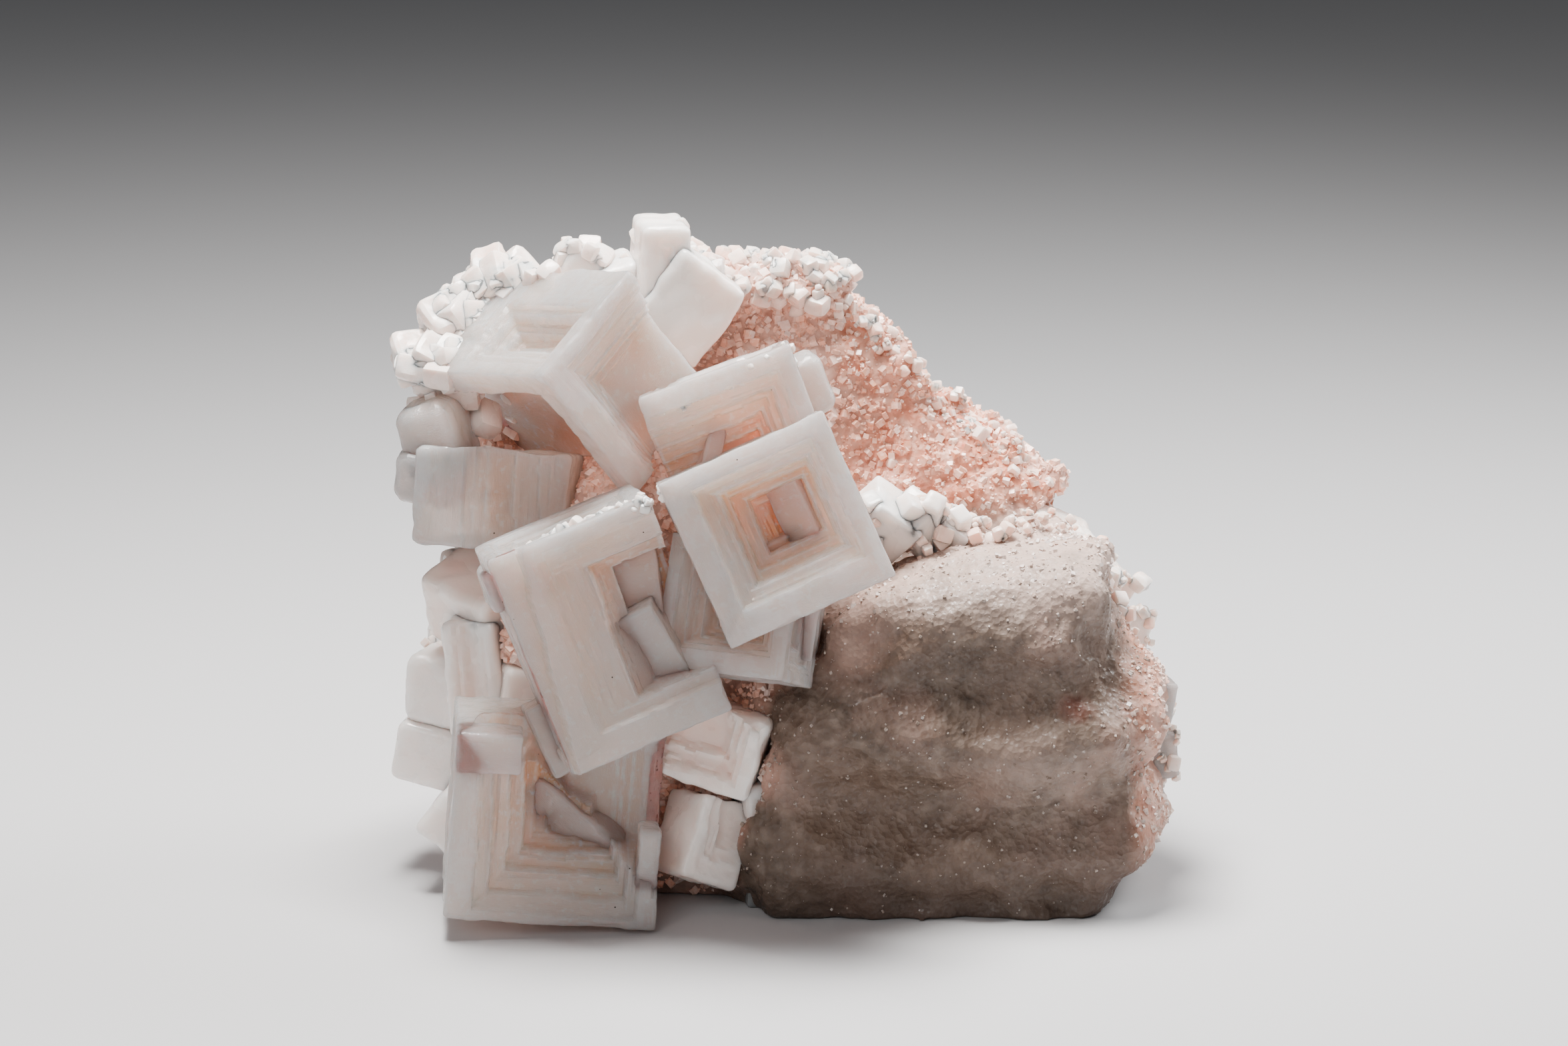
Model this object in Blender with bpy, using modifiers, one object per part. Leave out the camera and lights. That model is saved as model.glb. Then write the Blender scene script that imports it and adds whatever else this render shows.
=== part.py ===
"""Cluster of pink hopper halite on a lump of sandy salt crust.

Each hopper is a cube of rock salt whose edges grew faster than its faces, so every free face sinks
inwards in square terraces. The large hoppers are nodes of their own, crystals that grew into each
other are one solid, and the sandy lump carries the small druse that is fused to it.

Lengths are in millimetres and scaled once, when a mesh is made. X runs to the right, Y away from the
viewer and Z up. The origin is on the table, below the middle of the specimen.
"""

import math
import random
from dataclasses import dataclass, field

import bmesh
import bpy
from mathutils import Euler, Matrix, Vector

MM = 0.001
MIDDLE = Vector((0.1, -0.2, 0.0))  # the middle of the specimen's foot, in the places given below
SEAM = 0.3  # free gap left between two nodes that touch
AXES = {"x": 0, "y": 1, "z": 2}

# The pit of a usual hopper face, as shares of the crystal's size across that face.
RIM_SHARE = 0.13
FLOOR_SHARE = 0.12
DEPTH_SHARE = 0.30
TERRACES = 4

# The sandy lump.
LUMP_VOXEL = 1.5
LUMP_SMOOTHING = 5
LUMP_TRIANGLES = 1700
SWELLS = ((9, 3.0), (4, 1.4))  # size and height of its bumps
TABLE_CUT = (120, 120, 40)  # what is sawn off below the table's level

# The small cubes that crust the lump.
DRUSE_SEED = 11
DRUSE_SUNK = 0.25  # share of a cube's edge that its centre is lifted off the lump


@dataclass
class Pit:
    """The terraced hollow of one hopper face, in shares of the face's size."""

    depth: float = DEPTH_SHARE
    rim: float = RIM_SHARE
    floor: float = FLOOR_SHARE
    drift: tuple = (0.0, 0.0)
    terraces: int = TERRACES


@dataclass
class Chip:
    """A box of missing salt, in the crystal's own axes."""

    centre: tuple
    size: tuple
    turn: tuple = (0, 0, 0)


@dataclass
class Crystal:
    """One cube of salt: its place, its edge lengths, its turn about X, Y and Z, and its faces."""

    node: str
    centre: tuple
    size: tuple
    turn: tuple = (0, 0, 0)
    pits: dict = field(default_factory=dict)
    chips: tuple = ()

    def matrix(self):
        """The crystal's own axes, placed on the specimen."""
        return frame_of(self.centre, self.turn)


@dataclass
class Druse:
    """A patch of small cubes along a line on the lump: its ends, its width and the cubes' edges."""

    start: tuple
    end: tuple
    width: float
    count: int
    small: float
    large: float


def frame_of(centre, turn):
    """Axes at a centre, turned by degrees about X, Y and Z."""
    angles = [math.radians(angle) for angle in turn]
    return Matrix.Translation(centre) @ Euler(angles).to_matrix().to_4x4()


def hollow(faces, **shape):
    """The same pit on each named face, such as "-y+x"."""
    return {faces[i : i + 2]: Pit(**shape) for i in range(0, len(faces), 2)}


# Front to back: where two nodes meet, the one named first keeps its form.
CRYSTALS = [
    Crystal(
        "hopper_front",
        (-1.0, -19.5, 42.9),
        (18.2, 14.0, 18.2),
        (-14, -23, 8),
        {**hollow("+x-x+z-z", depth=0.18), **hollow("-y", depth=0.36, drift=(0.03, 0.06), terraces=6)},
    ),
    Crystal(
        "hopper_beneath",
        (-4.3, -14.9, 33.0),
        (14, 10, 14),
        (-20, 1, -20),
        hollow("-y+x-z", depth=0.3, terraces=5),
    ),
    Crystal("hopper_beneath", (-0.5, -11.5, 32.3), (9, 8, 9), (-8, 8, -6), hollow("-y+x-z", depth=0.2)),
    Crystal(
        "hopper_lower_front",
        (-18.6, -19.0, 32.2),
        (17.6, 11.0, 24.0),
        (-6, -20, 14),
        {**hollow("-x+z-z", depth=0.15), **hollow("-y", depth=0.34, drift=(0.14, 0.05), terraces=6)},
        (Chip((10.6, 0, 2), (8, 30, 16), (0, 6, 0)),),
    ),
    Crystal("hopper_lower_front", (-28.6, -14.5, 35.9), (5, 6, 4.5), (-6, -16, 14)),
    Crystal("hopper_lower_front", (-23.4, -15.5, 20.0), (5, 4, 8), (-6, -22, 14)),
    Crystal(
        "hopper_upper_middle",
        (-4.5, -9.0, 49.7),
        (16.5, 12.0, 16.0),
        (-10, -20, 4),
        hollow("-y+x+z", depth=0.3, terraces=5),
    ),
    Crystal("hopper_upper_middle", (2.8, -8.0, 55.6), (3.2, 4.5, 6.4), (0, -22, 15)),
    Crystal(
        "hopper_upper_left",
        (-23.3, -0.4, 54.4),
        (25.9, 15.6, 17.3),
        (38, -8, -52),
        hollow("-y+z+x-x", depth=0.3, terraces=5),
    ),
    Crystal(
        "hopper_lower_left",
        (-23.9, -16.5, 11.6),
        (22.0, 13.0, 20.3),
        (1, 5, 5),
        {**hollow("-x+x+z", depth=0.16), **hollow("-y", depth=0.4, terraces=6)},
        (Chip((7.5, -7, 10.5), (16, 12, 9), (0, 24, 0)),),
    ),
    Crystal(
        "hopper_left",
        (-30.2, -2.5, 41.8),
        (16.5, 10, 10.5),
        (-13, 2, -6),
        hollow("-y-x-z", depth=0.22, terraces=4),
    ),
    Crystal("hopper_left", (-36.6, 0.5, 48.0), (6.5, 8, 8), (0, -18, -10)),
    Crystal("hopper_left", (-37.3, -0.5, 44.0), (7, 7, 5.5), (0, 6, -6)),
    Crystal("top_crystal", (-13.2, 6.5, 64.6), (5.2, 9, 11), (0, 2, 10), hollow("+x-x", depth=0.2)),
    Crystal("top_crystal", (-11.0, 8.0, 61.4), (9, 13, 10), (0, 38, 8), hollow("-y", depth=0.15)),
    Crystal("top_crystal", (-17.6, 7.5, 62.8), (5, 6, 6), (8, -20, 12)),
    Crystal("top_crystal", (-22.0, 8.0, 63.4), (5.5, 6, 7), (0, 34, 5)),
    Crystal("top_crystal", (-28.6, 9.5, 57.6), (11, 13, 9), (6, -38, 8), hollow("+z+x-x", depth=0.2)),
    Crystal("lower_crystals", (-7.0, -12.0, 17.6), (10, 7, 8.5), (-6, 14, -12), hollow("-y", depth=0.15)),
    Crystal("lower_crystals", (-2.2, -10.5, 11.4), (5, 7, 5), (0, -8, 14)),
    Crystal("lower_crystals", (0.6, -11.0, 11.0), (4, 6, 4.6), (0, 6, -8)),
    Crystal("lower_crystals", (-8.6, -12.0, 7.4), (7, 8, 9), (-8, 24, 28), hollow("-y+x", depth=0.15)),
    Crystal("left_crystals", (-32.0, 0.5, 29.6), (10, 9, 9), (22, 12, -40), hollow("-x-y", depth=0.2)),
    Crystal("left_crystals", (-36.2, 3.0, 19.9), (7, 9, 8), (0, 6, -20), hollow("-x-y", depth=0.2)),
    Crystal("left_crystals", (-37.2, 3.0, 12.8), (8, 9, 6.5), (0, 10, -14), hollow("-x", depth=0.2)),
    Crystal("left_crystals", (-31.9, -1.5, 23.0), (6, 11, 13), (0, -4, -12), hollow("-y", depth=0.2)),
    Crystal("left_crystals", (-27.6, -3.5, 21.6), (6, 10, 6), (0, 8, 10)),
    Crystal("left_crystals", (-34.2, -3.0, 7.4), (6.5, 12, 6), (0, 38, -8)),
    Crystal("notch_crystals", (10.4, -1.0, 39.0), (6.0, 6, 6.0), (30, 36, 20), hollow("-y", depth=0.2)),
    Crystal("notch_crystals", (14.2, 0.0, 38.6), (4.6, 5, 5.4), (20, -32, 30)),
    Crystal("notch_crystals", (8.0, -2.5, 36.6), (4.6, 5, 4.6), (40, 18, -10)),
    Crystal("notch_crystals", (17.2, 0.5, 37.2), (3.6, 4, 4.2), (26, 40, 12)),
    Crystal("plate_crystals", (29.4, 9.5, 33.0), (7, 7, 7.5), (10, 22, 14), hollow("+z+x", depth=0.2)),
    Crystal("plate_crystals", (33.0, 9.5, 29.0), (6.5, 8, 7.5), (8, 32, 24), hollow("+x", depth=0.2)),
    Crystal("plate_crystals", (35.4, 8.5, 24.2), (6, 8, 7), (0, 18, 30), hollow("+x", depth=0.2)),
]

# The larger crystals that grow on the lump where the hoppers leave it free, fused to it.
FUSED = [
    Crystal("salt_matrix", (-22.0, 19.5, 46.0), (10, 9, 10), (14, 12, 24), hollow("+y+z-x", depth=0.25)),
    Crystal("salt_matrix", (-12.0, 20.5, 52.5), (7, 7, 7), (22, -18, 40), hollow("+y+z", depth=0.2)),
    Crystal("salt_matrix", (-27.5, 17.5, 30.5), (11, 10, 11), (-10, 8, 32), hollow("+y-x+z", depth=0.25)),
    Crystal("salt_matrix", (-8.0, 21.5, 30.0), (9, 8, 9), (6, 24, -14), hollow("+y+z", depth=0.25)),
    Crystal("salt_matrix", (12.0, 21.0, 40.0), (7, 6, 7), (12, 34, 16), hollow("+y", depth=0.2)),
    Crystal("salt_matrix", (-20.0, 20.0, 14.5), (9, 8, 8), (4, -16, 18), hollow("+y-x", depth=0.25)),
    Crystal("salt_matrix", (39.9, 1.5, 18.6), (3, 5, 5), (0, 10, 12)),
    Crystal("salt_matrix", (40.2, 2.5, 12.6), (3, 6, 5), (0, -6, 20)),
    Crystal("salt_matrix", (39.2, 1.5, 7.6), (3.4, 5, 4.4), (0, -16, 10)),
    Crystal("salt_matrix", (-1.4, -10.5, 1.4), (6, 5, 2.6), (0, 0, 12)),
]

# The hole in the lump's front.
POCKET = Chip((29.8, -14.0, 22.9), (5.0, 7.0, 2.6), (0, 8, 0))

DRUSES = (
    Druse((-8, 10, 65), (6, 12, 63), 5, 24, 2.2, 4.2),
    Druse((5, 12, 60), (28, 14, 41), 4, 14, 1.2, 2.4),
    Druse((22, 0, 39), (36, 4, 34), 5, 12, 1.4, 2.6),
    Druse((-28, 16, 56), (26, 18, 36), 9, 12, 1.8, 3.4),
    Druse((-26, 20, 8), (32, 19, 22), 12, 12, 1.8, 3.4),
)

# The lump is three lofts that melt together: each is an outline seen from the front and its
# sections, each a distance back and the outline's scale there, and how far it leans back.
WALL_OUTLINE = (
    (-33, 18), (-35, 46), (-30, 56), (-22, 61), (-8, 63), (2, 63.5), (7.5, 60), (18, 49),
    (27, 43), (29.5, 40.5), (28.5, 33), (17, 18),
)
WALL_SECTIONS = ((4.5, 0.90), (7, 0.98), (15, 1.0), (20.5, 0.86))
WALL_LEAN = 0.16
LOBE_OUTLINE = (
    (-6, -3), (-9, 10), (-6, 21), (0, 29), (8, 34.5), (16, 37), (27, 39.8), (33, 38),
    (37.5, 30), (40.6, 22), (41.4, 11), (39.6, 6), (36.6, 2), (31, -3),
)
LOBE_SECTIONS = ((-17, 0.78), (-12, 0.95), (-3, 1.0), (3, 0.95), (8, 0.84), (17, 0.78), (21, 0.66))
CORE_OUTLINE = ((-29, -3), (-33, 20), (-30, 36), (-20, 52), (-6, 52), (4, 34), (10, 10), (8, -3))
CORE_SECTIONS = ((-8.5, 0.80), (-4, 1.0), (15, 1.0), (20, 0.84))


def outer_face(mesh, axis, sign):
    """The face furthest out along one axis."""
    return max(mesh.faces, key=lambda face: sign * face.calc_center_median()[axis])


def sink_pit(mesh, crystal, side, pit):
    """Sinks a square funnel of ledges and risers into one face of the crystal's box."""
    sign, axis = (1 if side[0] == "+" else -1), AXES[side[1]]
    across = [other for other in range(3) if other != axis]
    face = outer_face(mesh, axis, sign)
    narrow = min(crystal.size[other] for other in across)
    rim, depth = pit.rim * narrow, pit.depth * narrow
    corners = [[math.copysign(1, vertex.co[other]) for other in across] for vertex in face.verts]
    for terrace in range(pit.terraces):
        share = terrace / (pit.terraces - 1)
        for sunk in (terrace, terrace + 1):
            face = bmesh.ops.extrude_discrete_faces(mesh, faces=[face])["faces"][0]
            for vertex, signs in zip(face.verts, corners):
                vertex.co[axis] = sign * (crystal.size[axis] / 2 - depth * sunk / pit.terraces)
                for other, way, drift in zip(across, signs, pit.drift):
                    edge = crystal.size[other] / 2 - rim
                    floor = pit.floor * crystal.size[other] / 2 + way * drift * crystal.size[other]
                    vertex.co[other] = way * (edge + (floor - edge) * share)


def box_mesh(size, grown=0.0):
    """A box of the given size, each face moved out by grown."""
    mesh = bmesh.new()
    bmesh.ops.create_cube(mesh, size=1.0)
    bmesh.ops.scale(mesh, vec=[edge + 2 * grown for edge in size], verts=mesh.verts)
    return mesh


def crystal_mesh(crystal):
    """The crystal's box with its hopper faces sunk."""
    mesh = box_mesh(crystal.size)
    for side, pit in crystal.pits.items():
        sink_pit(mesh, crystal, side, pit)
    return mesh


def loft_mesh(outline, sections, lean=0.0):
    """Lofts an outline through its sections, each scaled about the middle of the outline's foot."""
    middle = sum(x for x, _ in outline) / len(outline)
    foot = min(z for _, z in outline)
    mesh = bmesh.new()
    face = mesh.faces.new([mesh.verts.new((x, 0, z)) for x, z in outline])
    for index, (back, scale) in enumerate(sections):
        if index:
            made = bmesh.ops.extrude_face_region(mesh, geom=[face])["geom"]
            face = next(item for item in made if isinstance(item, bmesh.types.BMFace))
        for vertex, (x, z) in zip(face.verts, outline):
            height = (z - foot) * scale
            vertex.co = (middle + (x - middle) * scale, back + lean * height, foot + height)
    bmesh.ops.recalc_face_normals(mesh, faces=mesh.faces)
    return mesh


def material(name, colour, roughness):
    """A plain finish for one kind of salt."""
    finish = bpy.data.materials.new(name)
    finish.use_nodes = True
    shader = finish.node_tree.nodes["Principled BSDF"]
    shader.inputs["Base Color"].default_value = (*colour, 1.0)
    shader.inputs["Roughness"].default_value = roughness
    return finish


def place(name, mesh, matrix, collection, finish=None):
    """Makes an object from a bmesh in millimetres, at a place given in millimetres."""
    bmesh.ops.scale(mesh, vec=(MM, MM, MM), verts=mesh.verts)
    data = bpy.data.meshes.new(name)
    mesh.to_mesh(data)
    mesh.free()
    if finish:
        data.materials.append(finish)
    obj = bpy.data.objects.new(name, data)
    obj.rotation_euler = matrix.to_euler()
    obj.location = (matrix.translation - MIDDLE) * MM
    collection.objects.link(obj)
    return obj


def helper(name, mesh, matrix, collection):
    """Makes an object that only joins or cuts, in a collection of such objects."""
    obj = place(name, mesh, matrix, collection)
    obj.hide_render = True
    obj.display_type = "WIRE"


def helper_group(name, parent):
    """An empty collection for the operands of one Boolean."""
    group = bpy.data.collections.new(name)
    parent.children.link(group)
    return group


def boolean(obj, operation, group):
    """Joins obj with the objects of a collection, or cuts them out of it."""
    if group.objects:
        modifier = obj.modifiers.new(operation.lower(), "BOOLEAN")
        modifier.operation = operation
        modifier.operand_type = "COLLECTION"
        modifier.collection = group
        modifier.solver = "EXACT"


def evaluated(obj):
    """The object's mesh with its modifiers applied."""
    bpy.context.view_layer.update()
    graph = bpy.context.evaluated_depsgraph_get()
    return bpy.data.meshes.new_from_object(obj.evaluated_get(graph))


def bake(obj):
    """Applies the object's modifiers and keeps its main piece, without the chips a cut has parted."""
    data = evaluated(obj)
    obj.modifiers.clear()
    mesh = bmesh.new()
    mesh.from_mesh(data)
    pieces = sorted(loose_pieces(mesh), key=len)
    bmesh.ops.delete(mesh, geom=[vertex for piece in pieces[:-1] for vertex in piece], context="VERTS")
    mesh.to_mesh(data)
    mesh.free()
    obj.data = data


def loose_pieces(mesh):
    """The sets of vertices that hang together."""
    left, pieces = set(mesh.verts), []
    while left:
        piece, front = set(), [left.pop()]
        while front:
            vertex = front.pop()
            piece.add(vertex)
            near = {edge.other_vert(vertex) for edge in vertex.link_edges} & left
            left -= near
            front += near
        pieces.append(piece)
    return pieces


def displace(obj, size, height):
    """Roughens a surface with bumps of one size, in and out by half their height."""
    texture = bpy.data.textures.new(f"swell_{size}", "CLOUDS")
    texture.noise_scale = size * MM
    modifier = obj.modifiers.new(f"swell_{size}", "DISPLACE")
    modifier.texture = texture
    modifier.texture_coords = "LOCAL"
    modifier.strength = height * MM
    modifier.mid_level = 0.5


def lump_object(collection, finish):
    """The sandy lump: three lofts melted into one and roughened."""
    mesh = bmesh.new()
    for loft in (
        loft_mesh(WALL_OUTLINE, WALL_SECTIONS, WALL_LEAN),
        loft_mesh(LOBE_OUTLINE, LOBE_SECTIONS),
        loft_mesh(CORE_OUTLINE, CORE_SECTIONS),
    ):
        data = bpy.data.meshes.new("loft")
        loft.to_mesh(data)
        loft.free()
        mesh.from_mesh(data)
        bpy.data.meshes.remove(data)
    lump = place("salt_matrix", mesh, Matrix(), collection, finish)
    remesh = lump.modifiers.new("melt", "REMESH")
    remesh.mode = "VOXEL"
    remesh.voxel_size = LUMP_VOXEL * MM
    lump.modifiers.new("smooth", "SMOOTH").iterations = LUMP_SMOOTHING
    for size, height in SWELLS:
        displace(lump, size, height)
    dense = evaluated(lump)
    dense.calc_loop_triangles()
    lump.modifiers.new("thin", "DECIMATE").ratio = LUMP_TRIANGLES / len(dense.loop_triangles)
    bake(lump)
    return lump


def add_druse(lump, druse, rng, group):
    """Sets small cubes at random turns on the lump's surface, along the patch."""
    start, end = Vector(druse.start), Vector(druse.end)
    for index in range(druse.count):
        along = (index + rng.random()) / druse.count
        spread = Vector([rng.uniform(-0.5, 0.5) * druse.width for _ in range(3)])
        wanted = start.lerp(end, along) + spread
        _, spot, normal, _ = lump.closest_point_on_mesh(wanted * MM)
        edge = rng.uniform(druse.small, druse.large)
        size = [edge * rng.uniform(0.8, 1.2) for _ in range(3)]
        centre = spot / MM + normal * edge * DRUSE_SUNK
        turn = [rng.uniform(0, 90) for _ in range(3)]
        helper("druse", box_mesh(size), frame_of(centre, turn), group)


def cut_seams(obj, ahead, group):
    """Cuts away what would touch the nodes ahead, with their crystals' boxes grown by the seam."""
    for crystal in ahead:
        helper("seam", box_mesh(crystal.size, SEAM), crystal.matrix(), group)
    boolean(obj, "DIFFERENCE", group)


def build_node(name, parts, helpers, finish):
    """One node of crystals: joined, chipped, and parted from the nodes in front of it."""
    own = [crystal for crystal in CRYSTALS if crystal.node == name]
    ahead = CRYSTALS[: CRYSTALS.index(own[0])]
    joined, cut = helper_group(f"{name}_joined", helpers), helper_group(f"{name}_cut", helpers)
    obj = place(name, crystal_mesh(own[0]), own[0].matrix(), parts, finish)
    for crystal in own[1:]:
        helper(crystal.node, crystal_mesh(crystal), crystal.matrix(), joined)
    boolean(obj, "UNION", joined)
    for crystal in own:
        for chip in crystal.chips:
            place_of_chip = crystal.matrix() @ frame_of(chip.centre, chip.turn)
            helper("chip", box_mesh(chip.size), place_of_chip, cut)
    cut_seams(obj, ahead, cut)
    bake(obj)


def build_lump(parts, helpers, finish):
    """The sandy lump with what is fused to it, sawn flat where it stands."""
    lump = lump_object(parts, finish)
    joined, cut = helper_group("lump_joined", helpers), helper_group("lump_cut", helpers)
    rng = random.Random(DRUSE_SEED)
    for druse in DRUSES:
        add_druse(lump, druse, rng, joined)
    for crystal in FUSED:
        helper("fused", crystal_mesh(crystal), crystal.matrix(), joined)
    boolean(lump, "UNION", joined)
    helper("pocket", box_mesh(POCKET.size), frame_of(POCKET.centre, POCKET.turn), cut)
    below = Matrix.Translation((0, 0, -TABLE_CUT[2] / 2))
    helper("below_table", box_mesh(TABLE_CUT), below, cut)
    cut_seams(lump, CRYSTALS, cut)
    bake(lump)


def main():
    """Builds the specimen."""
    for obj in list(bpy.data.objects):
        bpy.data.objects.remove(obj)
    parts = bpy.data.collections.new("halite_specimen")
    helpers = bpy.data.collections.new("helpers")
    for collection in (parts, helpers):
        bpy.context.scene.collection.children.link(collection)
    halite = material("halite", (0.93, 0.84, 0.81), 0.35)
    sandy = material("sandy_salt", (0.72, 0.60, 0.53), 0.85)
    for name in dict.fromkeys(crystal.node for crystal in CRYSTALS):
        build_node(name, parts, helpers, halite)
    build_lump(parts, helpers, sandy)


if __name__ == "__main__":
    main()
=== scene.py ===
"""The finished look of a pink hopper halite specimen.

Every crystal is a cube of salt in the place of a packed one: a fine cage whose faces sink in stepped
hollows, with grain along the steps, worn edges and breaks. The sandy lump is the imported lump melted
smooth, rolled in level waves and roughened again. Druse cubes and loose salt grains lie on it.

Crystals are laid out in millimetres, in the layout that the solids were drawn in.
"""

import logging
import math
from dataclasses import dataclass, field
from enum import Enum

import bmesh
import bpy
import numpy as np
from mathutils import Euler, Matrix, Vector
from mathutils.bvhtree import BVHTree


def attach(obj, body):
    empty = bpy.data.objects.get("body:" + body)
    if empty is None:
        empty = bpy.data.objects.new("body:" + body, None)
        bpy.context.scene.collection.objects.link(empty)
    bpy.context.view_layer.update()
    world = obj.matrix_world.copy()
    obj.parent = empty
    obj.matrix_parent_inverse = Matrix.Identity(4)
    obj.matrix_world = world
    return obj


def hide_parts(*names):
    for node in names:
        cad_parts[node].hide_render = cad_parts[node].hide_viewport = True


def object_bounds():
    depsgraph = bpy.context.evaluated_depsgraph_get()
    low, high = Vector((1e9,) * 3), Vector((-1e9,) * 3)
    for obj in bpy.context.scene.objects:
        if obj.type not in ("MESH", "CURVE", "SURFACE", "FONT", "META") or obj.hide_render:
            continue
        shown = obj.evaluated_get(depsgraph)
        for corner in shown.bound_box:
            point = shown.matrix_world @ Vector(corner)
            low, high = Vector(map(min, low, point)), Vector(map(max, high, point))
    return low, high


LOG = logging.getLogger("halite")
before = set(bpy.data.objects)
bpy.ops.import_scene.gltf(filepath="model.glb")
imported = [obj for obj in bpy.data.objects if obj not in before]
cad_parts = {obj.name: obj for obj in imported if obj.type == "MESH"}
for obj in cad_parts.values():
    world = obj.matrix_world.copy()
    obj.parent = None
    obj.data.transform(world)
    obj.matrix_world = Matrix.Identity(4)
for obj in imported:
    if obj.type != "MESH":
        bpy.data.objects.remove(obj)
CAD_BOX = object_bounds()

MM = 0.001
MIDDLE = Vector((0.1, -0.2, 0.0))  # the middle of the specimen's foot in the layout, in millimetres
BODY = "root"
KEEP_IN = 0.00002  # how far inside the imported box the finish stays, in metres
OPEN = None  # a hollow's missing wall
FINE, MEDIUM, COARSE = 0.2, 0.3, 0.4  # the sizes of a crystal's cells, in millimetres

Socket = bpy.types.NodeSocket
Triple = tuple[float, float, float]  # a place, a size, turns, or a colour


class Side(Enum):
    """A cube's faces: the axis that each looks along, and which way."""

    LEFT = (0, -1)
    RIGHT = (0, 1)
    FRONT = (1, -1)
    BACK = (1, 1)
    BOTTOM = (2, -1)
    TOP = (2, 1)

    @property
    def axis(self) -> int:
        """The axis that the face looks along."""
        return self.value[0]

    @property
    def sign(self) -> int:
        """Which way along that axis."""
        return self.value[1]

    @property
    def across(self) -> tuple[int, int]:
        """The two axes that lie in the face."""
        first, second = (axis for axis in range(3) if axis != self.axis)
        return first, second


LEFT, RIGHT, FRONT, BACK, BOTTOM, TOP = Side


class Slot(Enum):
    """The record's material slots."""

    HALITE = "halite"
    SANDY = "sandy_salt"


class Ripples:
    """Seeded smooth noise in space, between -1 and 1."""

    SIDE = 24  # how many cells the lattice has along each side
    SHIFT = 7.3  # how many cells each layer is shifted from the one before

    def __init__(self, seed: int) -> None:
        """Draws the lattice.

        Args:
            seed: The seed of the random numbers.
        """
        self.lattice = np.random.default_rng(seed).uniform(-1, 1, (self.SIDE,) * 3)

    def at(self, *place: np.ndarray) -> np.ndarray:
        """The noise at some places.

        Args:
            place: One to three arrays of coordinates; a missing one is zero.

        Returns:
            The noise at each place.
        """
        place = [np.asarray(coordinate, float) for coordinate in place]
        while len(place) < 3:
            place.append(np.zeros_like(place[0]))
        cell = [np.floor(coordinate).astype(int) for coordinate in place]
        share = [coordinate - low for coordinate, low in zip(place, cell)]
        share = [part * part * (3 - 2 * part) for part in share]
        total = np.zeros_like(place[0])
        for corner in range(8):
            steps = [(corner >> axis) & 1 for axis in range(3)]
            weight = np.ones_like(place[0])
            for part, step in zip(share, steps):
                weight = weight * (part if step else 1 - part)
            where = tuple((low + step) % self.SIDE for low, step in zip(cell, steps))
            total += weight * self.lattice[where]
        return total

    def rough(self, places: np.ndarray, size: float, layers: int = 3) -> np.ndarray:
        """Layered noise, each layer half the size and half the height of the one before.

        Args:
            places: Points, one a row.
            size: The size of the largest bumps, in the points' unit.
            layers: How many layers.

        Returns:
            The noise at each point.
        """
        total, height = np.zeros(len(places)), 1.0
        for layer in range(layers):
            total += height * self.at(*(places.T * (2**layer / size) + self.SHIFT * layer))
            height *= 0.5
        return total


def rise(height: np.ndarray, width: float) -> np.ndarray:
    """How far a height has risen over a width, from 0 to 1."""
    return np.clip(height / width, 0, 1)


@dataclass
class Break:
    """A broken-off part of a hollow's rim, as a half plane in the face.

    Attributes:
        place: A point on the break's line, in millimetres from the face's middle.
        towards: The direction of what is missing, in degrees from the face's first axis.
        depth: How deep the break goes.
        width: How wide the slope down into it is.
        ragged: How far the line wanders.
    """

    place: tuple[float, float]
    towards: float
    depth: float
    width: float = 1.2
    ragged: float = 0.8

    COARSE_TEETH = (0.45, 0.3)  # waves of the line to the millimetre, along it and across it
    FINE_TEETH = (0.3, 1.7)  # the fine teeth's height against the coarse ones', and how close they stand

    def depth_at(self, a: np.ndarray, b: np.ndarray, ripples: Ripples) -> np.ndarray:
        """How far down the break has taken the face.

        Args:
            a: Places along the face's first axis.
            b: Places along its second axis.
            ripples: The crystal's noise.

        Returns:
            The depth at each place.
        """
        turn = math.radians(self.towards)
        beyond = (a - self.place[0]) * math.cos(turn) + (b - self.place[1]) * math.sin(turn)
        along = (b - self.place[1]) * math.cos(turn) - (a - self.place[0]) * math.sin(turn)
        length, across = self.COARSE_TEETH
        beyond = beyond + self.ragged * ripples.at(along * length, beyond * across)
        tall, length = self.FINE_TEETH
        beyond = beyond + tall * self.ragged * ripples.at(along * length, beyond + 9)
        share = rise(beyond, self.width)
        return self.depth * share * share * (3 - 2 * share)


@dataclass
class Hollow:
    """A hollow at some places of its face.

    Attributes:
        depth: How deep it is there, in millimetres.
        hue: How peach-coloured it is, from 0 to 1.
        lip: How near the lip of a step is, from 0 to 1.
        strand: The place in the grain: across the wall, a tenth of that along it, the wall's number.
        inside: 1 past the rim and 0 on it.
    """

    depth: np.ndarray
    hue: np.ndarray
    lip: np.ndarray
    strand: np.ndarray
    inside: np.ndarray


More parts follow.
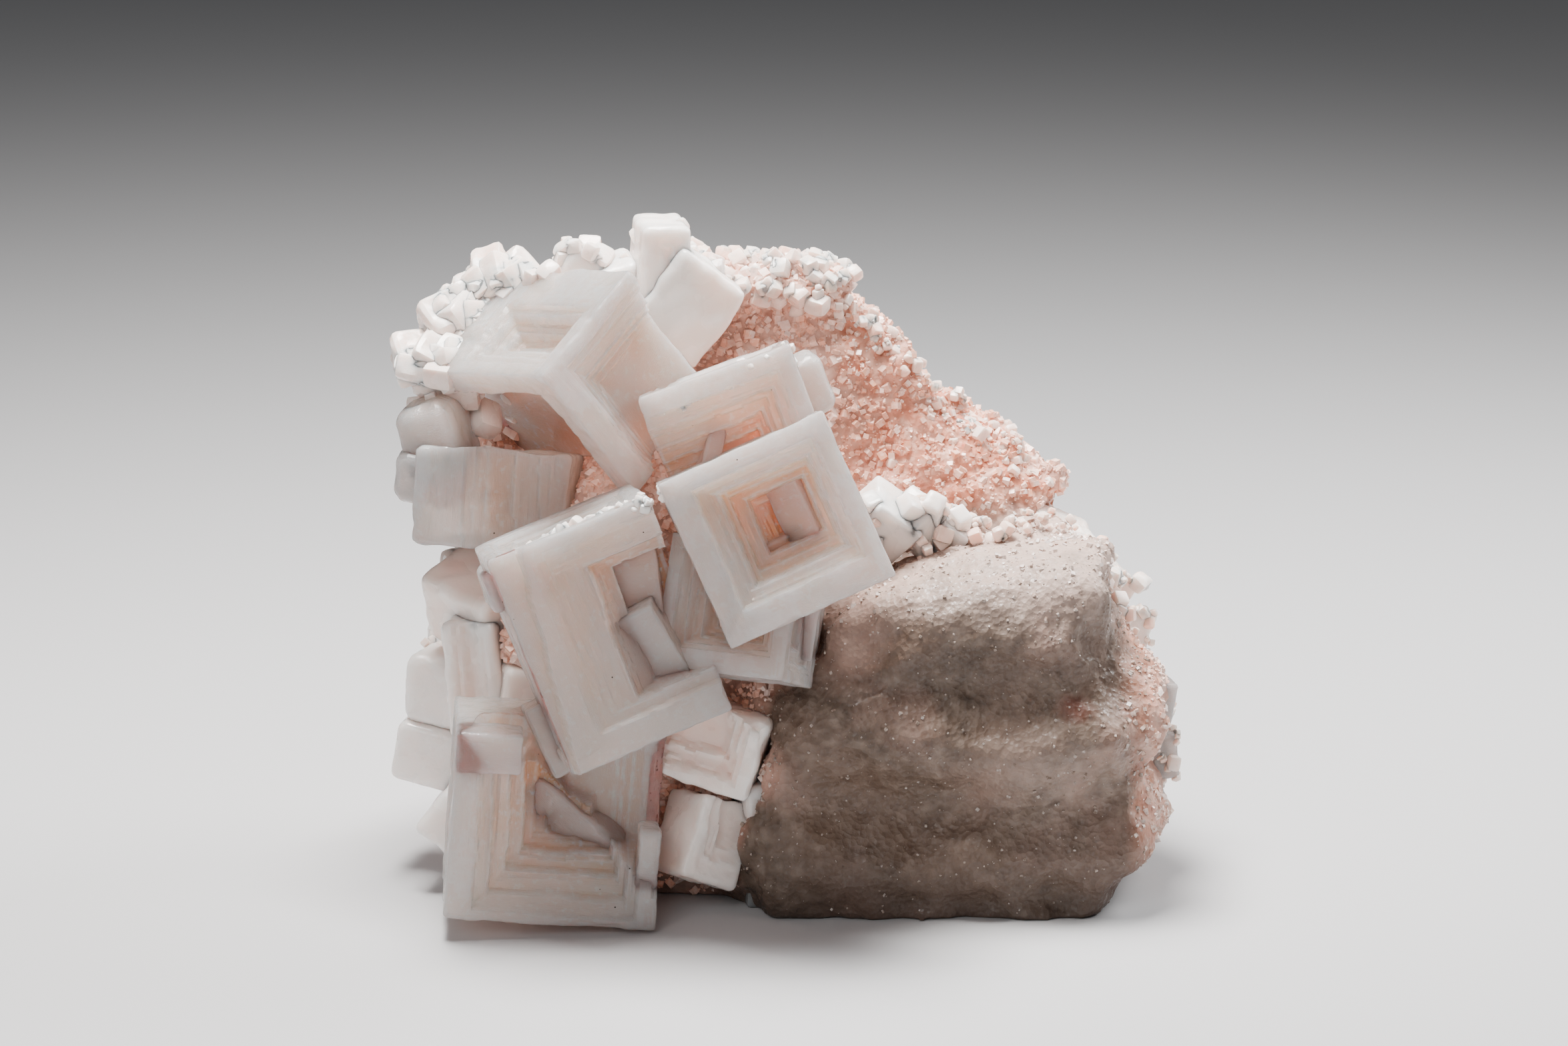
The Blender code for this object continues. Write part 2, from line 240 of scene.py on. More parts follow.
@dataclass
class Pit:
    """The stepped hollow of one hopper face.

    The four walls stand along the face's low and high side on its first axis, then on its second.

    Attributes:
        depth: How deep the floor lies, in millimetres.
        rims: The flat rim's width on each wall; None where that wall is missing.
        runs: How far each wall takes from its rim down to the floor.
        ledges: How wide each step is, against the others.
        drops: How far each step goes down, against the others.
        waver: How far the steps wander from straight.
        breaks: The parts of the rim that are broken off.
    """

    depth: float
    rims: tuple = (2.0, 2.0, 2.0, 2.0)
    runs: tuple = (5.0, 5.0, 5.0, 5.0)
    ledges: tuple = (0.5, 1.0, 0.7)
    drops: tuple = (0.25, 0.4, 0.35)
    waver: float = 0.25
    breaks: tuple = ()

    RISER = 0.22  # the share of a step's width that its riser takes
    LINES = 4  # fine steps on each ledge
    TREAD = 0.3  # the share of a step's drop that its fine steps take
    EDGE = 0.1  # how far a ledge's lip stands up, in millimetres
    LIP = 0.3  # how far from a drop its lip reaches, in millimetres
    WANDER = ((0.35, 0.8, 0.9), (0.12, 2.0, 2.7))  # finer wander: its height, its rate across and along
    GRAIN = ((0.08, 2.6, 0.10), (0.06, 6.1, 0.2))  # the grain of the ledges, in the same terms
    DEEP = 6.4  # the depth at which the salt is at its most orange
    BROKEN_HUE = 0.4  # how peach-coloured a break is at most

    def stairs(self, rng: np.random.Generator, lines: np.ndarray) -> tuple[np.ndarray, np.ndarray]:
        """One wall's way down: a riser, then a ledge of fine steps, over and over.

        Args:
            rng: The crystal's random numbers.
            lines: The drop of each ledge's fine steps, shared by all walls.

        Returns:
            Shares of the wall's run, and the share of the depth at each.
        """
        widths = np.array(self.ledges) * rng.uniform(0.7, 1.4, len(self.ledges))
        widths /= widths.sum()
        drops = np.array(self.drops) / sum(self.drops)
        run, drop, start, top = [0.0], [0.0], 0.0, 0.0
        for width, height, fine in zip(widths, drops, lines):
            run.append(start + self.RISER * width)
            drop.append(top + height * (1 - self.TREAD))
            places = np.sort(rng.uniform(self.RISER + 0.1, 0.95, self.LINES))
            for place, step in zip(places, fine):
                level = drop[-1]
                run += [start + place * width, start + (place + 0.03) * width]
                drop += [level, level + step * height * self.TREAD]
            start, top = start + width, top + height
            run.append(start)
            drop.append(top)
        return np.array(run), np.array(drop)

    def depth_at(
        self, a: np.ndarray, b: np.ndarray, half: tuple[float, float], ripples: Ripples, seed: int
    ) -> Hollow:
        """The hollow over the face.

        Args:
            a: Places along the face's first axis.
            b: Places along its second axis.
            half: Half the face's size along the two axes.
            ripples: The crystal's noise.
            seed: The seed of the steps.

        Returns:
            What the hollow is like at each place.
        """
        rng = np.random.default_rng(seed)
        lines = rng.dirichlet(np.ones(self.LINES), len(self.ledges))
        share, lip, relief = np.ones_like(a), np.zeros_like(a), np.zeros_like(a)
        shallow, strand = np.full_like(a, np.inf), np.stack([a, 0.1 * b, 0 * a], axis=1)
        walls = ((half[0] + a, b), (half[0] - a, b), (half[1] + b, a), (half[1] - b, a))
        for wall, ((gap, along), rim, run) in enumerate(zip(walls, self.rims, self.runs)):
            stairs = self.stairs(rng, lines)
            if rim is None:
                continue
            deep = rise(gap - rim, run)
            wander = self.waver * (0.4 + deep) * ripples.at(gap * 0.3 + 5 * wall, along * 0.2)
            for tall, across, length in self.WANDER:
                wander = wander + tall * self.waver * ripples.at(gap * across + 5 * wall, along * length)
            down = rise(gap - rim + wander, run)
            drop = np.interp(down, *stairs)
            ahead = np.interp(np.clip(down + self.LIP / run, 0, 1), *stairs)
            strands = sum(
                tall * ripples.at(gap * across + 11 * wall, along * length)
                for tall, across, length in self.GRAIN
            )
            nearer = drop < share
            share = np.where(nearer, drop, share)
            lip = np.where(nearer, np.clip((ahead - drop) * 9 - 0.3, 0, 1), lip)
            relief = np.where(nearer, strands, relief)
            outer = (gap - rim) / run < shallow
            shallow = np.where(outer, (gap - rim) / run, shallow)
            place = np.stack([gap, 0.1 * along, gap * 0 + 9 * wall], axis=1)
            strand = np.where(outer[:, None], place, strand)
        depth = self.depth * share + np.clip(relief, -0.15, 0.15) * np.where(share > 0, 1.0, 0.8)
        depth = depth - self.EDGE * lip * (share > 0)
        hue = depth / self.DEEP
        for broken in self.breaks:
            gone = broken.depth_at(a, b, ripples)
            hue = np.where(gone > depth, np.minimum(gone / self.DEEP, self.BROKEN_HUE), hue)
            depth = np.maximum(depth, gone)
        return Hollow(np.maximum(depth, 0), np.clip(hue, 0, 1), lip, strand, (share > 0) * 1.0)


@dataclass
class Cube:
    """One cube of salt, laid out in millimetres.

    Attributes:
        centre: Its middle.
        size: Its edge lengths.
        turn: Its turn about X, Y and Z, in degrees.
        pits: The hollows of its faces.
        cell: The size of its cage's cells.
        rounding: How round its edges are worn.
        chips: How deep chips go along its edges.
        bulge: How far its faces swell and sag.
        warmth: How peach-coloured it is all over, from 0 to 1.
        seed: The seed of its irregularity.
        host: The crystal that it sits on, whose axes its place and turn are given in.
    """

    centre: Triple
    size: Triple
    turn: Triple = (0, 0, 0)
    pits: dict[Side, Pit] = field(default_factory=dict)
    cell: float = 0.4
    rounding: float = 0.35
    chips: float = 0.8
    bulge: float = 0.12
    warmth: float = 0.0
    seed: int = 1
    host: "Cube | None" = None

    FEWEST = 4  # the fewest cells along an edge
    GRAIN = 0.07  # how rough its faces are, in millimetres
    EDGE = 0.4  # how wide its whitened edges are, in millimetres: frosted, with a painted glint
    EDGE_LIP = 0.7  # how white they are: partly frosted salt, partly painted glint

    def plate(
        self,
        centre: Triple,
        size: Triple,
        turn: Triple,
        seed: int,
        **shape: float,
    ) -> "Cube":
        """A small crystal that has grown on this one.

        Args:
            centre: Its middle, in this crystal's own axes.
            size: Its edge lengths.
            turn: Its turn in those axes, in degrees.
            seed: The seed of its irregularity.
            shape: Its other fields.

        Returns:
            The small crystal.
        """
        return Cube(centre, size, turn, cell=FINE, seed=seed, host=self, **shape)

    def matrix(self) -> Matrix:
        """The crystal's own axes, placed on the specimen."""
        own = frame_of(self.centre, self.turn)
        return self.host.matrix() @ own if self.host else own

    def cage(self) -> bmesh.types.BMesh:
        """A box of the crystal's size, cut into even cells.

        Returns:
            The box.
        """
        cage = bmesh.new()
        bmesh.ops.create_cube(cage, size=1.0)
        bmesh.ops.scale(cage, vec=self.size, verts=cage.verts)
        for axis, length in enumerate(self.size):
            edges = [edge for edge in cage.edges if self.runs_along(edge, axis)]
            cuts = max(self.FEWEST, round(length / self.cell)) - 1
            bmesh.ops.subdivide_edges(cage, edges=edges, cuts=cuts, use_grid_fill=True)
        return cage

    @staticmethod
    def runs_along(edge: bmesh.types.BMEdge, axis: int) -> bool:
        """Whether an edge of the cage lies along an axis."""
        way = edge.verts[1].co - edge.verts[0].co
        return abs(way[axis]) > 0.99 * way.length

    def worn(self, box: np.ndarray, ripples: Ripples) -> np.ndarray:
        """The box with worn and chipped edges and uneven faces.

        Args:
            box: The cage's points.
            ripples: The crystal's noise.

        Returns:
            The moved points.
        """
        half = np.array(self.size) / 2
        chipped = np.clip(ripples.rough(box, 3.2, 2) - 0.45, 0, 1) * self.chips
        radius = (self.rounding + chipped)[:, None]
        radius = np.minimum(radius, half.min() * 0.8)
        inner = np.clip(box, -(half - radius), half - radius)
        away = box - inner
        length = np.maximum(np.linalg.norm(away, axis=1, keepdims=True), 1e-9)
        shape = inner + away / length * radius
        swell = self.bulge * ripples.rough(box + 40, 5.0, 3)
        swell += self.GRAIN * ripples.rough(box + 60, 1.3, 2)
        return shape + away / length * swell[:, None]

    def grow(self) -> tuple[bmesh.types.BMesh, np.ndarray, dict[str, np.ndarray]]:
        """Shapes the crystal.

        Returns:
            Its cage, its points in metres, and the values its finish reads at each point.
        """
        cage = self.cage()
        box = np.array([vertex.co for vertex in cage.verts])
        ripples = Ripples(self.seed)
        shape = self.worn(box, ripples)
        half = np.array(self.size) / 2
        recess, lip, inside = np.zeros((3, len(box)))
        # Edges are whitened: partly frosted salt, partly a painted glint along them.
        lip += self.EDGE_LIP * ((np.abs(box) > half - self.EDGE).sum(axis=1) >= 2)
        strand = box[:, [2, 0, 1]] * (1.0, 0.1, 0.1)
        for number, (side, pit) in enumerate(self.pits.items()):
            a, b = (box[:, axis] for axis in side.across)
            sizes = tuple(half[axis] for axis in side.across)
            hollow = pit.depth_at(a, b, sizes, ripples, self.seed * 10 + number)
            limit = half[side.axis] - hollow.depth
            sunk = side.sign * shape[:, side.axis] > limit
            on_face = box[:, side.axis] * side.sign > half[side.axis] - 0.01
            strand = np.where(on_face[:, None], hollow.strand + (0, 0, 31 * number), strand)
            inside = np.where(on_face, hollow.inside, inside)
            shape[:, side.axis] = np.where(sunk, side.sign * limit, shape[:, side.axis])
            recess = np.where(sunk, np.maximum(recess, hollow.hue), recess)
            lip = np.where(sunk, np.maximum(lip, hollow.lip), lip)
        matrix = self.matrix()
        turn, shift = np.array(matrix.to_3x3()), np.array(matrix.translation - MIDDLE)
        placed = (shape @ turn.T + shift) * MM
        warm = self.warmth + 0.1 * ripples.rough(box + 90, 6.0, 2)
        recess, strand = np.clip(recess + warm, 0, 1), strand + (self.seed, 0, 0)
        return cage, placed, {"recess": recess, "lip": lip, "inside": inside, "strand": strand}


def frame_of(centre: tuple, turn: tuple) -> Matrix:
    """Axes at a centre, turned about X, Y and Z.

    Args:
        centre: The centre, in millimetres.
        turn: The turns, in degrees.

    Returns:
        The axes as a matrix.
    """
    angles = [math.radians(angle) for angle in turn]
    return Matrix.Translation(centre) @ Euler(angles).to_matrix().to_4x4()


def keep_inside(places: np.ndarray) -> np.ndarray:
    """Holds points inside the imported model's box."""
    low, high = (np.array(corner) for corner in CAD_BOX)
    return np.clip(places, low + KEEP_IN, high - KEEP_IN)


def add_values(mesh: bpy.types.Mesh, values: dict[str, np.ndarray]) -> None:
    """Keeps values on a mesh's points for its finish to read.

    Args:
        mesh: The mesh.
        values: Numbers, or rows of three, for each point.
    """
    for name, numbers in values.items():
        kind, key = ("FLOAT_VECTOR", "vector") if numbers.ndim == 2 else ("FLOAT", "value")
        layer = mesh.attributes.new(name, kind, "POINT")
        layer.data.foreach_set(key, numbers.astype(np.float32).ravel())


def show(
    name: str, mesh: bpy.types.Mesh, finish: bpy.types.Material, nodes: tuple[str, ...]
) -> bpy.types.Object:
    """Puts a finished piece in the scene.

    Args:
        name: The piece's name.
        mesh: Its mesh, in place.
        finish: Its material.
        nodes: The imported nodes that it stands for.

    Returns:
        The piece.
    """
    mesh.materials.clear()
    mesh.materials.append(finish)
    piece = bpy.data.objects.new(name, mesh)
    bpy.context.scene.collection.objects.link(piece)
    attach(piece, BODY)
    if nodes:
        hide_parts(*nodes)
    LOG.info("%s: %d faces", name, len(mesh.polygons))
    return piece


@dataclass
class Cluster:
    """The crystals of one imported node.

    Attributes:
        node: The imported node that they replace, or nothing.
        cubes: Its crystals.
        sharp: The angle past which an edge stays sharp, in degrees.
    """

    node: str
    cubes: tuple[Cube, ...]
    sharp: float = 32.0

    WELD = 0.004  # points nearer than this are merged, in millimetres

    @classmethod
    def of(cls, node: str, *cubes: Cube) -> "Cluster":
        """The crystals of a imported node, or of none."""
        return cls(node, cubes)

    def build(self, name: str, finish: bpy.types.Material) -> bpy.types.Object:
        """Makes the crystals as one piece.

        Args:
            name: The piece's name.
            finish: The crystals' material.

        Returns:
            The piece.
        """
        joined = bmesh.new()
        for cube in self.cubes:
            cage, places, values = cube.grow()
            mesh = bpy.data.meshes.new("cube")
            cage.to_mesh(mesh)
            cage.free()
            mesh.vertices.foreach_set("co", keep_inside(places).astype(np.float32).ravel())
            add_values(mesh, values)
            joined.from_mesh(mesh)
            bpy.data.meshes.remove(mesh)
        bmesh.ops.remove_doubles(joined, verts=joined.verts, dist=self.WELD * MM)
        mesh = bpy.data.meshes.new(name)
        joined.to_mesh(mesh)
        joined.free()
        mesh.shade_smooth()
        mesh.set_sharp_from_angle(angle=math.radians(self.sharp))
        return show(name, mesh, finish, (self.node,) if self.node else ())


class NodeBoard:
    """A material's node tree, built up call by call."""

    def __init__(self, name: str) -> None:
        """Starts a material.

        Args:
            name: The material's name.
        """
        self.material = bpy.data.materials.new(name)
        self.material.use_nodes = True
        self.tree = self.material.node_tree
        self.shader = self.tree.nodes["Principled BSDF"]
        self.output = self.tree.nodes["Material Output"]

    def add(self, kind: str, **settings: object) -> bpy.types.Node:
        """Adds a node.

        Args:
            kind: The node's type, without its ShaderNode prefix.
            settings: Properties to set on it.

        Returns:
            The node.
        """
        node = self.tree.nodes.new("ShaderNode" + kind)
        for key, value in settings.items():
            setattr(node, key, value)
        return node

    def link(self, source: Socket, target: Socket) -> None:
        """Joins two sockets."""
        self.tree.links.new(source, target)

    def value(self, name: str) -> bpy.types.Node:
        """A node that reads a value kept on the mesh."""
        return self.add("Attribute", attribute_name=name)

    def places(self) -> Socket:
        """The socket of the object's own coordinates."""
        return self.add("TexCoord").outputs["Object"]

    def noise(self, scale: float, detail: float = 3.0, source: Socket | None = None) -> Socket:
        """A noise pattern on the object's own coordinates, or on a source.

        Args:
            scale: Cells to the metre, or to the source's unit.
            detail: The noise's detail.
            source: A socket with coordinates.

        Returns:
            The socket of the noise's strength.
        """
        node = self.add("TexNoise")
        node.inputs["Scale"].default_value = scale
        node.inputs["Detail"].default_value = detail
        self.link(source or self.places(), node.inputs["Vector"])
        return node.outputs["Fac"]

    def ramp(self, source: Socket, *stops: tuple[float, tuple]) -> Socket:
        """Colours along a value.

        Args:
            source: The socket of the value.
            stops: Places from 0 to 1 and the colour at each.

        Returns:
            The socket of the colour.
        """
        node = self.add("ValToRGB")
        band = node.color_ramp
        while len(band.elements) < len(stops):
            band.elements.new(0.5)
        for element, (place, colour) in zip(band.elements, stops):
            element.position = place
            element.color = (*colour, 1.0)
        self.link(source, node.inputs["Fac"])
        return node.outputs["Color"]

    def between(self, source: Socket, low: float, high: float, start: float, end: float) -> Socket:
        """Maps a value from one range to another, and holds it there.

        Args:
            source: The socket of the value.
            low: The value that becomes start.
            high: The value that becomes end.
            start: The new range's start.
            end: The new range's end.

        Returns:
            The socket of the new value.
        """
        node = self.add("MapRange", clamp=True)
        ends = {"From Min": low, "From Max": high, "To Min": start, "To Max": end}
        for key, number in ends.items():
            node.inputs[key].default_value = number
        self.link(source, node.inputs["Value"])
        return node.outputs["Result"]

    def mix(self, share: Socket, first: Socket, second: Socket | Triple) -> Socket:
        """Mixes two colours.

        Args:
            share: The socket of the second one's share.
            first: The socket of the first one.
            second: A socket, or a colour.

        Returns:
            The socket of the mixed colour.
        """
        node = self.add("Mix", data_type="RGBA")
        self.link(share, node.inputs[0])
        self.link(first, node.inputs[6])
        if isinstance(second, Socket):
            self.link(second, node.inputs[7])
        else:
            node.inputs[7].default_value = (*second, 1.0)
        return node.outputs[2]

    def math(self, operation: str, first: Socket, second: Socket | float) -> Socket:
        """Works out a value from two others.

        Args:
            operation: Blender's name of the operation.
            first: The socket of the first one.
            second: A socket or a number.

        Returns:
            The socket of the result.
        """
        node = self.add("Math", operation=operation)
        self.link(first, node.inputs[0])
        if isinstance(second, Socket):
            self.link(second, node.inputs[1])
        else:
            node.inputs[1].default_value = second
        return node.outputs[0]

    def bump(self, *layers: tuple[Socket, float, float]) -> None:
        """Bumps on the surface.

        Args:
            layers: For each, the socket of its height, its strength, and its height in metres.
        """
        normal = None
        for height, strength, distance in layers:
            node = self.add("Bump")
            node.inputs["Strength"].default_value = strength
            node.inputs["Distance"].default_value = distance
            self.link(height, node.inputs["Height"])
            if normal is not None:
                self.link(normal, node.inputs["Normal"])
            normal = node.outputs["Normal"]
        self.link(normal, self.shader.inputs["Normal"])

    def cells(self, scale: float) -> bpy.types.Node:
        """A pattern of round cells on the object's own coordinates.

        Args:
            scale: Cells to the metre.

        Returns:
            The pattern's node.
        """
        node = self.add("TexVoronoi", feature="F1")
        node.inputs["Scale"].default_value = scale
        self.link(self.places(), node.inputs["Vector"])
        return node

    def fix(self, **values: object) -> None:
        """Sets the shader's own sockets to plain values, with _ for a space in a socket's name."""
        for key, given in values.items():
            self.shader.inputs[key.replace("_", " ")].default_value = given


SALT_IOR = 1.544  # how strongly rock salt bends light


@dataclass(frozen=True)
class HaliteFinish:
    """Cloudy pink rock salt: greyish-white rims, peach in the hollows, fine grain, lips and edges whitened
    partly as frosted salt and partly as a painted glint, dust.

    Attributes:
        name: The material's name.
        clear: How much of its light passes straight through.
        glow_depth: How far the rest goes in, in metres.
        glow: How far each colour of it goes, against that.
        hollow: The colours from a rim down to the deepest floor.
        cloud: The colour of its clouds.
        frost_and_glint: The colour of its frosted lines and sugary grains, and of the painted glint on its
            lips and edges.
        dust: The colour of the dust on it.
        tinge: What its inside lets pass.
        density: How strongly it does so.
    """

    name: str = "cloudy_pink_halite"
    clear: float = 0.6
    glow_depth: float = 0.007
    glow: Triple = (1.0, 0.84, 0.78)
    hollow: tuple = (
        (0.0, (0.99, 0.83, 0.76)),
        (0.25, (0.99, 0.77, 0.68)),
        (0.55, (0.98, 0.68, 0.54)),
        (0.85, (0.97, 0.48, 0.25)),
        (1.0, (0.95, 0.30, 0.08)),
    )
    cloud: Triple = (0.98, 0.92, 0.90)
    frost_and_glint: Triple = (1.0, 0.97, 0.95)
    dust: Triple = (0.10, 0.07, 0.06)
    tinge: Triple = (1.0, 0.78, 0.68)
    density: float = 60.0

    def make(self) -> bpy.types.Material:
        """Builds the material.

        Returns:
            The material.
        """
        board = NodeBoard(self.name)
        strand = board.value("strand").outputs["Vector"]
        inside = board.between(board.value("inside").outputs["Fac"], 0.0, 1.0, 0.65, 1.0)
        lines = board.noise(12.0, 3.0, strand)
        fine = board.noise(34.0, 2.0, strand)
        colour = board.ramp(board.value("recess").outputs["Fac"], *self.hollow)
        cloudy = board.between(board.noise(160.0, 4.0), 0.42, 0.62, 0.0, 0.45)
        colour = board.mix(cloudy, colour, self.cloud)
        colour = board.mix(self.frosting_and_glints(board, lines, fine, inside), colour, self.frost_and_glint)
        colour = board.mix(self.specks(board), colour, self.dust)
        board.link(colour, board.shader.inputs["Base Color"])
        rough = board.between(board.noise(420.0), 0.3, 0.7, 0.12, 0.25)
        board.link(rough, board.shader.inputs["Roughness"])
        board.bump(
            (board.noise(1300.0, 5.0), 0.4, 0.0002),
            (board.math("MULTIPLY", lines, inside), 0.5, 0.0002),
            (fine, 0.4, 0.0001),
        )
        board.fix(
            Transmission_Weight=self.clear,
            IOR=SALT_IOR,
            Subsurface_Weight=1.0,
            Subsurface_Radius=self.glow,
            Subsurface_Scale=self.glow_depth,
        )
        absorb = board.add("VolumeAbsorption")
        absorb.inputs["Color"].default_value = (*self.tinge, 1.0)
        absorb.inputs["Density"].default_value = self.density
        board.link(absorb.outputs["Volume"], board.output.inputs["Volume"])
        return board.material

    @staticmethod
    def frosting_and_glints(board: NodeBoard, lines: Socket, fine: Socket, inside: Socket) -> Socket:
        """How frosted the salt is, with painted glints: broken whitened lips, partly frosted and partly a
        painted glint, streaks along the grain, and sugary grains.

        Args:
            board: The material's nodes.
            lines: The grain's broad lines.
            fine: Its fine ones.
            inside: How much of the broad lines shows.

        Returns:
            The socket of the strength of the whitening: frosted salt and painted glint.
        """
        broken = board.between(board.noise(900.0), 0.35, 0.6, 0.3, 1.0)
        # Whitened lips: partly frosted salt, partly a painted glint.
        frost_and_glint = board.math("MULTIPLY", board.value("lip").outputs["Fac"], broken)
        streaks = board.math("MULTIPLY", board.between(lines, 0.55, 0.72, 0.0, 0.3), inside)
        frost_and_glint = board.math("MAXIMUM", frost_and_glint, streaks)
        frost_and_glint = board.math("MAXIMUM", frost_and_glint, board.between(fine, 0.56, 0.7, 0.0, 0.2))
        sugar = board.between(board.noise(1300.0, 4.0), 0.56, 0.68, 0.0, 0.6)
        return board.math("MAXIMUM", frost_and_glint, sugar)

    @staticmethod
    def specks(board: NodeBoard) -> Socket:
        """Sparse specks of dark dust.

        Args:
            board: The material's nodes.

        Returns:
            The socket that is 1 in a speck and 0 elsewhere.
        """
        cells = board.cells(620.0)
        near = board.math("LESS_THAN", cells.outputs["Distance"], 0.055)
        pick = board.add("SeparateColor")
        board.link(cells.outputs["Color"], pick.inputs["Color"])
        return board.math("MULTIPLY", near, board.math("LESS_THAN", pick.outputs[0], 0.16))


@dataclass(frozen=True)
class MilkyFinish:
    """Milky salt: white to salmon pink, or brown where it lies in sand.

    Attributes:
        name: The material's name.
        glow: How much of its light comes from within.
        glow_depth: How far light goes in, in metres.
        cells: The size of its mottling, as cells to the metre.
        tint: The colours from its palest to its warmest.
        sand: The colour of a grain that lies in sand.
        mottle: The colour of its mottling.
    """

    name: str
    glow: float
    glow_depth: float
    cells: float
    tint: tuple = (
        (0.0, (0.94, 0.84, 0.80)),
        (0.3, (0.94, 0.76, 0.69)),
        (0.6, (0.90, 0.58, 0.46)),
        (1.0, (0.80, 0.36, 0.22)),
    )
    sand: Triple = (0.25, 0.185, 0.145)
    mottle: Triple = (0.97, 0.91, 0.88)

    def make(self) -> bpy.types.Material:
        """Builds the material.

        Returns:
            The material.
        """
        board = NodeBoard(self.name)
        colour = board.ramp(board.value("recess").outputs["Fac"], *self.tint)
        colour = board.mix(board.value("sand").outputs["Fac"], colour, self.sand)
        mottled = board.between(board.noise(self.cells, 3.0), 0.42, 0.66, 0.0, 0.3)
        board.link(board.mix(mottled, colour, self.mottle), board.shader.inputs["Base Color"])
        rough = board.between(board.noise(self.cells), 0.3, 0.7, 0.15, 0.4)
        board.link(rough, board.shader.inputs["Roughness"])
        board.bump((board.noise(2500.0, 3.0), 0.3, 0.0001))
        board.fix(
            Subsurface_Weight=self.glow,
            Subsurface_Radius=(1.0, 0.85, 0.8),
            Subsurface_Scale=self.glow_depth,
            IOR=SALT_IOR,
        )
        return board.material


@dataclass(frozen=True)
class SandyFinish:
    """Sandy salt crust: grey-brown on the lobe, darkened partly as painted shade, salmon pink on the slab,
    whitish on the rims; painted light lightens the lobe's top and a bulge, painted shade darkens its foot
    and a band under its top.

    Attributes:
        name: The material's name.
        sand: The colours of the sand's grains, darkened below their own colour as painted shade on the
            lobe's front.
        clay: The colour of the patches among them.
        salmon: The colours of the pink crust's grains.
        pale: The colour of the patches among them.
        white_and_lit: The colour of the whitish zones, and of the painted light on the lobe's top and a
            bulge.
        shade_and_dirt: The colour of the painted shade on the lobe's foot and under its top, and of random
            dark patches.
        rust_and_hole: The colour of the rusty spots, and of the hole, whose dark red is partly painted
            shade.
    """

    name: str = "sandy_salt_crust"
    # Darker than the sand's own colour: partly painted shade on the lobe's front.
    sand: tuple = (
        (0.30, (0.055, 0.034, 0.022)),
        (0.50, (0.105, 0.070, 0.049)),
        (0.70, (0.19, 0.14, 0.108)),
    )
    clay: Triple = (0.17, 0.105, 0.075)
    salmon: tuple = (
        (0.30, (0.48, 0.13, 0.065)),
        (0.48, (0.68, 0.27, 0.165)),
        (0.68, (0.80, 0.46, 0.35)),
    )
    pale: Triple = (0.80, 0.55, 0.46)
    white_and_lit: Triple = (0.76, 0.57, 0.49)
    shade_and_dirt: Triple = (0.06, 0.038, 0.027)
    rust_and_hole: Triple = (0.15, 0.035, 0.018)

    def make(self) -> bpy.types.Material:
        """Builds the material.

        Returns:
            The material.
        """
        board = NodeBoard(self.name)
        pink, white_and_lit, shade_and_dirt, rust_and_hole = (board.value(key).outputs["Fac"] for key in ZONES)
        sand = board.ramp(board.noise(650.0, 6.0), *self.sand)
        sand = board.mix(board.between(board.noise(75.0), 0.42, 0.62, 0.0, 0.45), sand, self.clay)
        salmon = board.ramp(board.noise(480.0, 6.0), *self.salmon)
        salmon = board.mix(board.between(board.noise(110.0), 0.46, 0.64, 0.0, 0.4), salmon, self.pale)
        colour = board.mix(pink, sand, salmon)
        # Whitish zones add painted light on the lobe's top and a bulge; the dark zone is painted shade with
        # random dark patches; the hole's dark red is partly painted shade.
        for zone, paint in ((white_and_lit, self.white_and_lit), (shade_and_dirt, self.shade_and_dirt), (rust_and_hole, self.rust_and_hole)):
            colour = board.mix(zone, colour, paint)
        board.link(colour, board.shader.inputs["Base Color"])
        rough = board.between(board.noise(2600.0, 2.0), 0.35, 0.62, 0.30, 0.75)
        board.link(rough, board.shader.inputs["Roughness"])
        board.bump(
            (board.cells(1500.0).outputs["Distance"], 0.5, 0.0003),
            (board.noise(3200.0, 3.0), 0.4, 0.00015),
        )
        return board.material


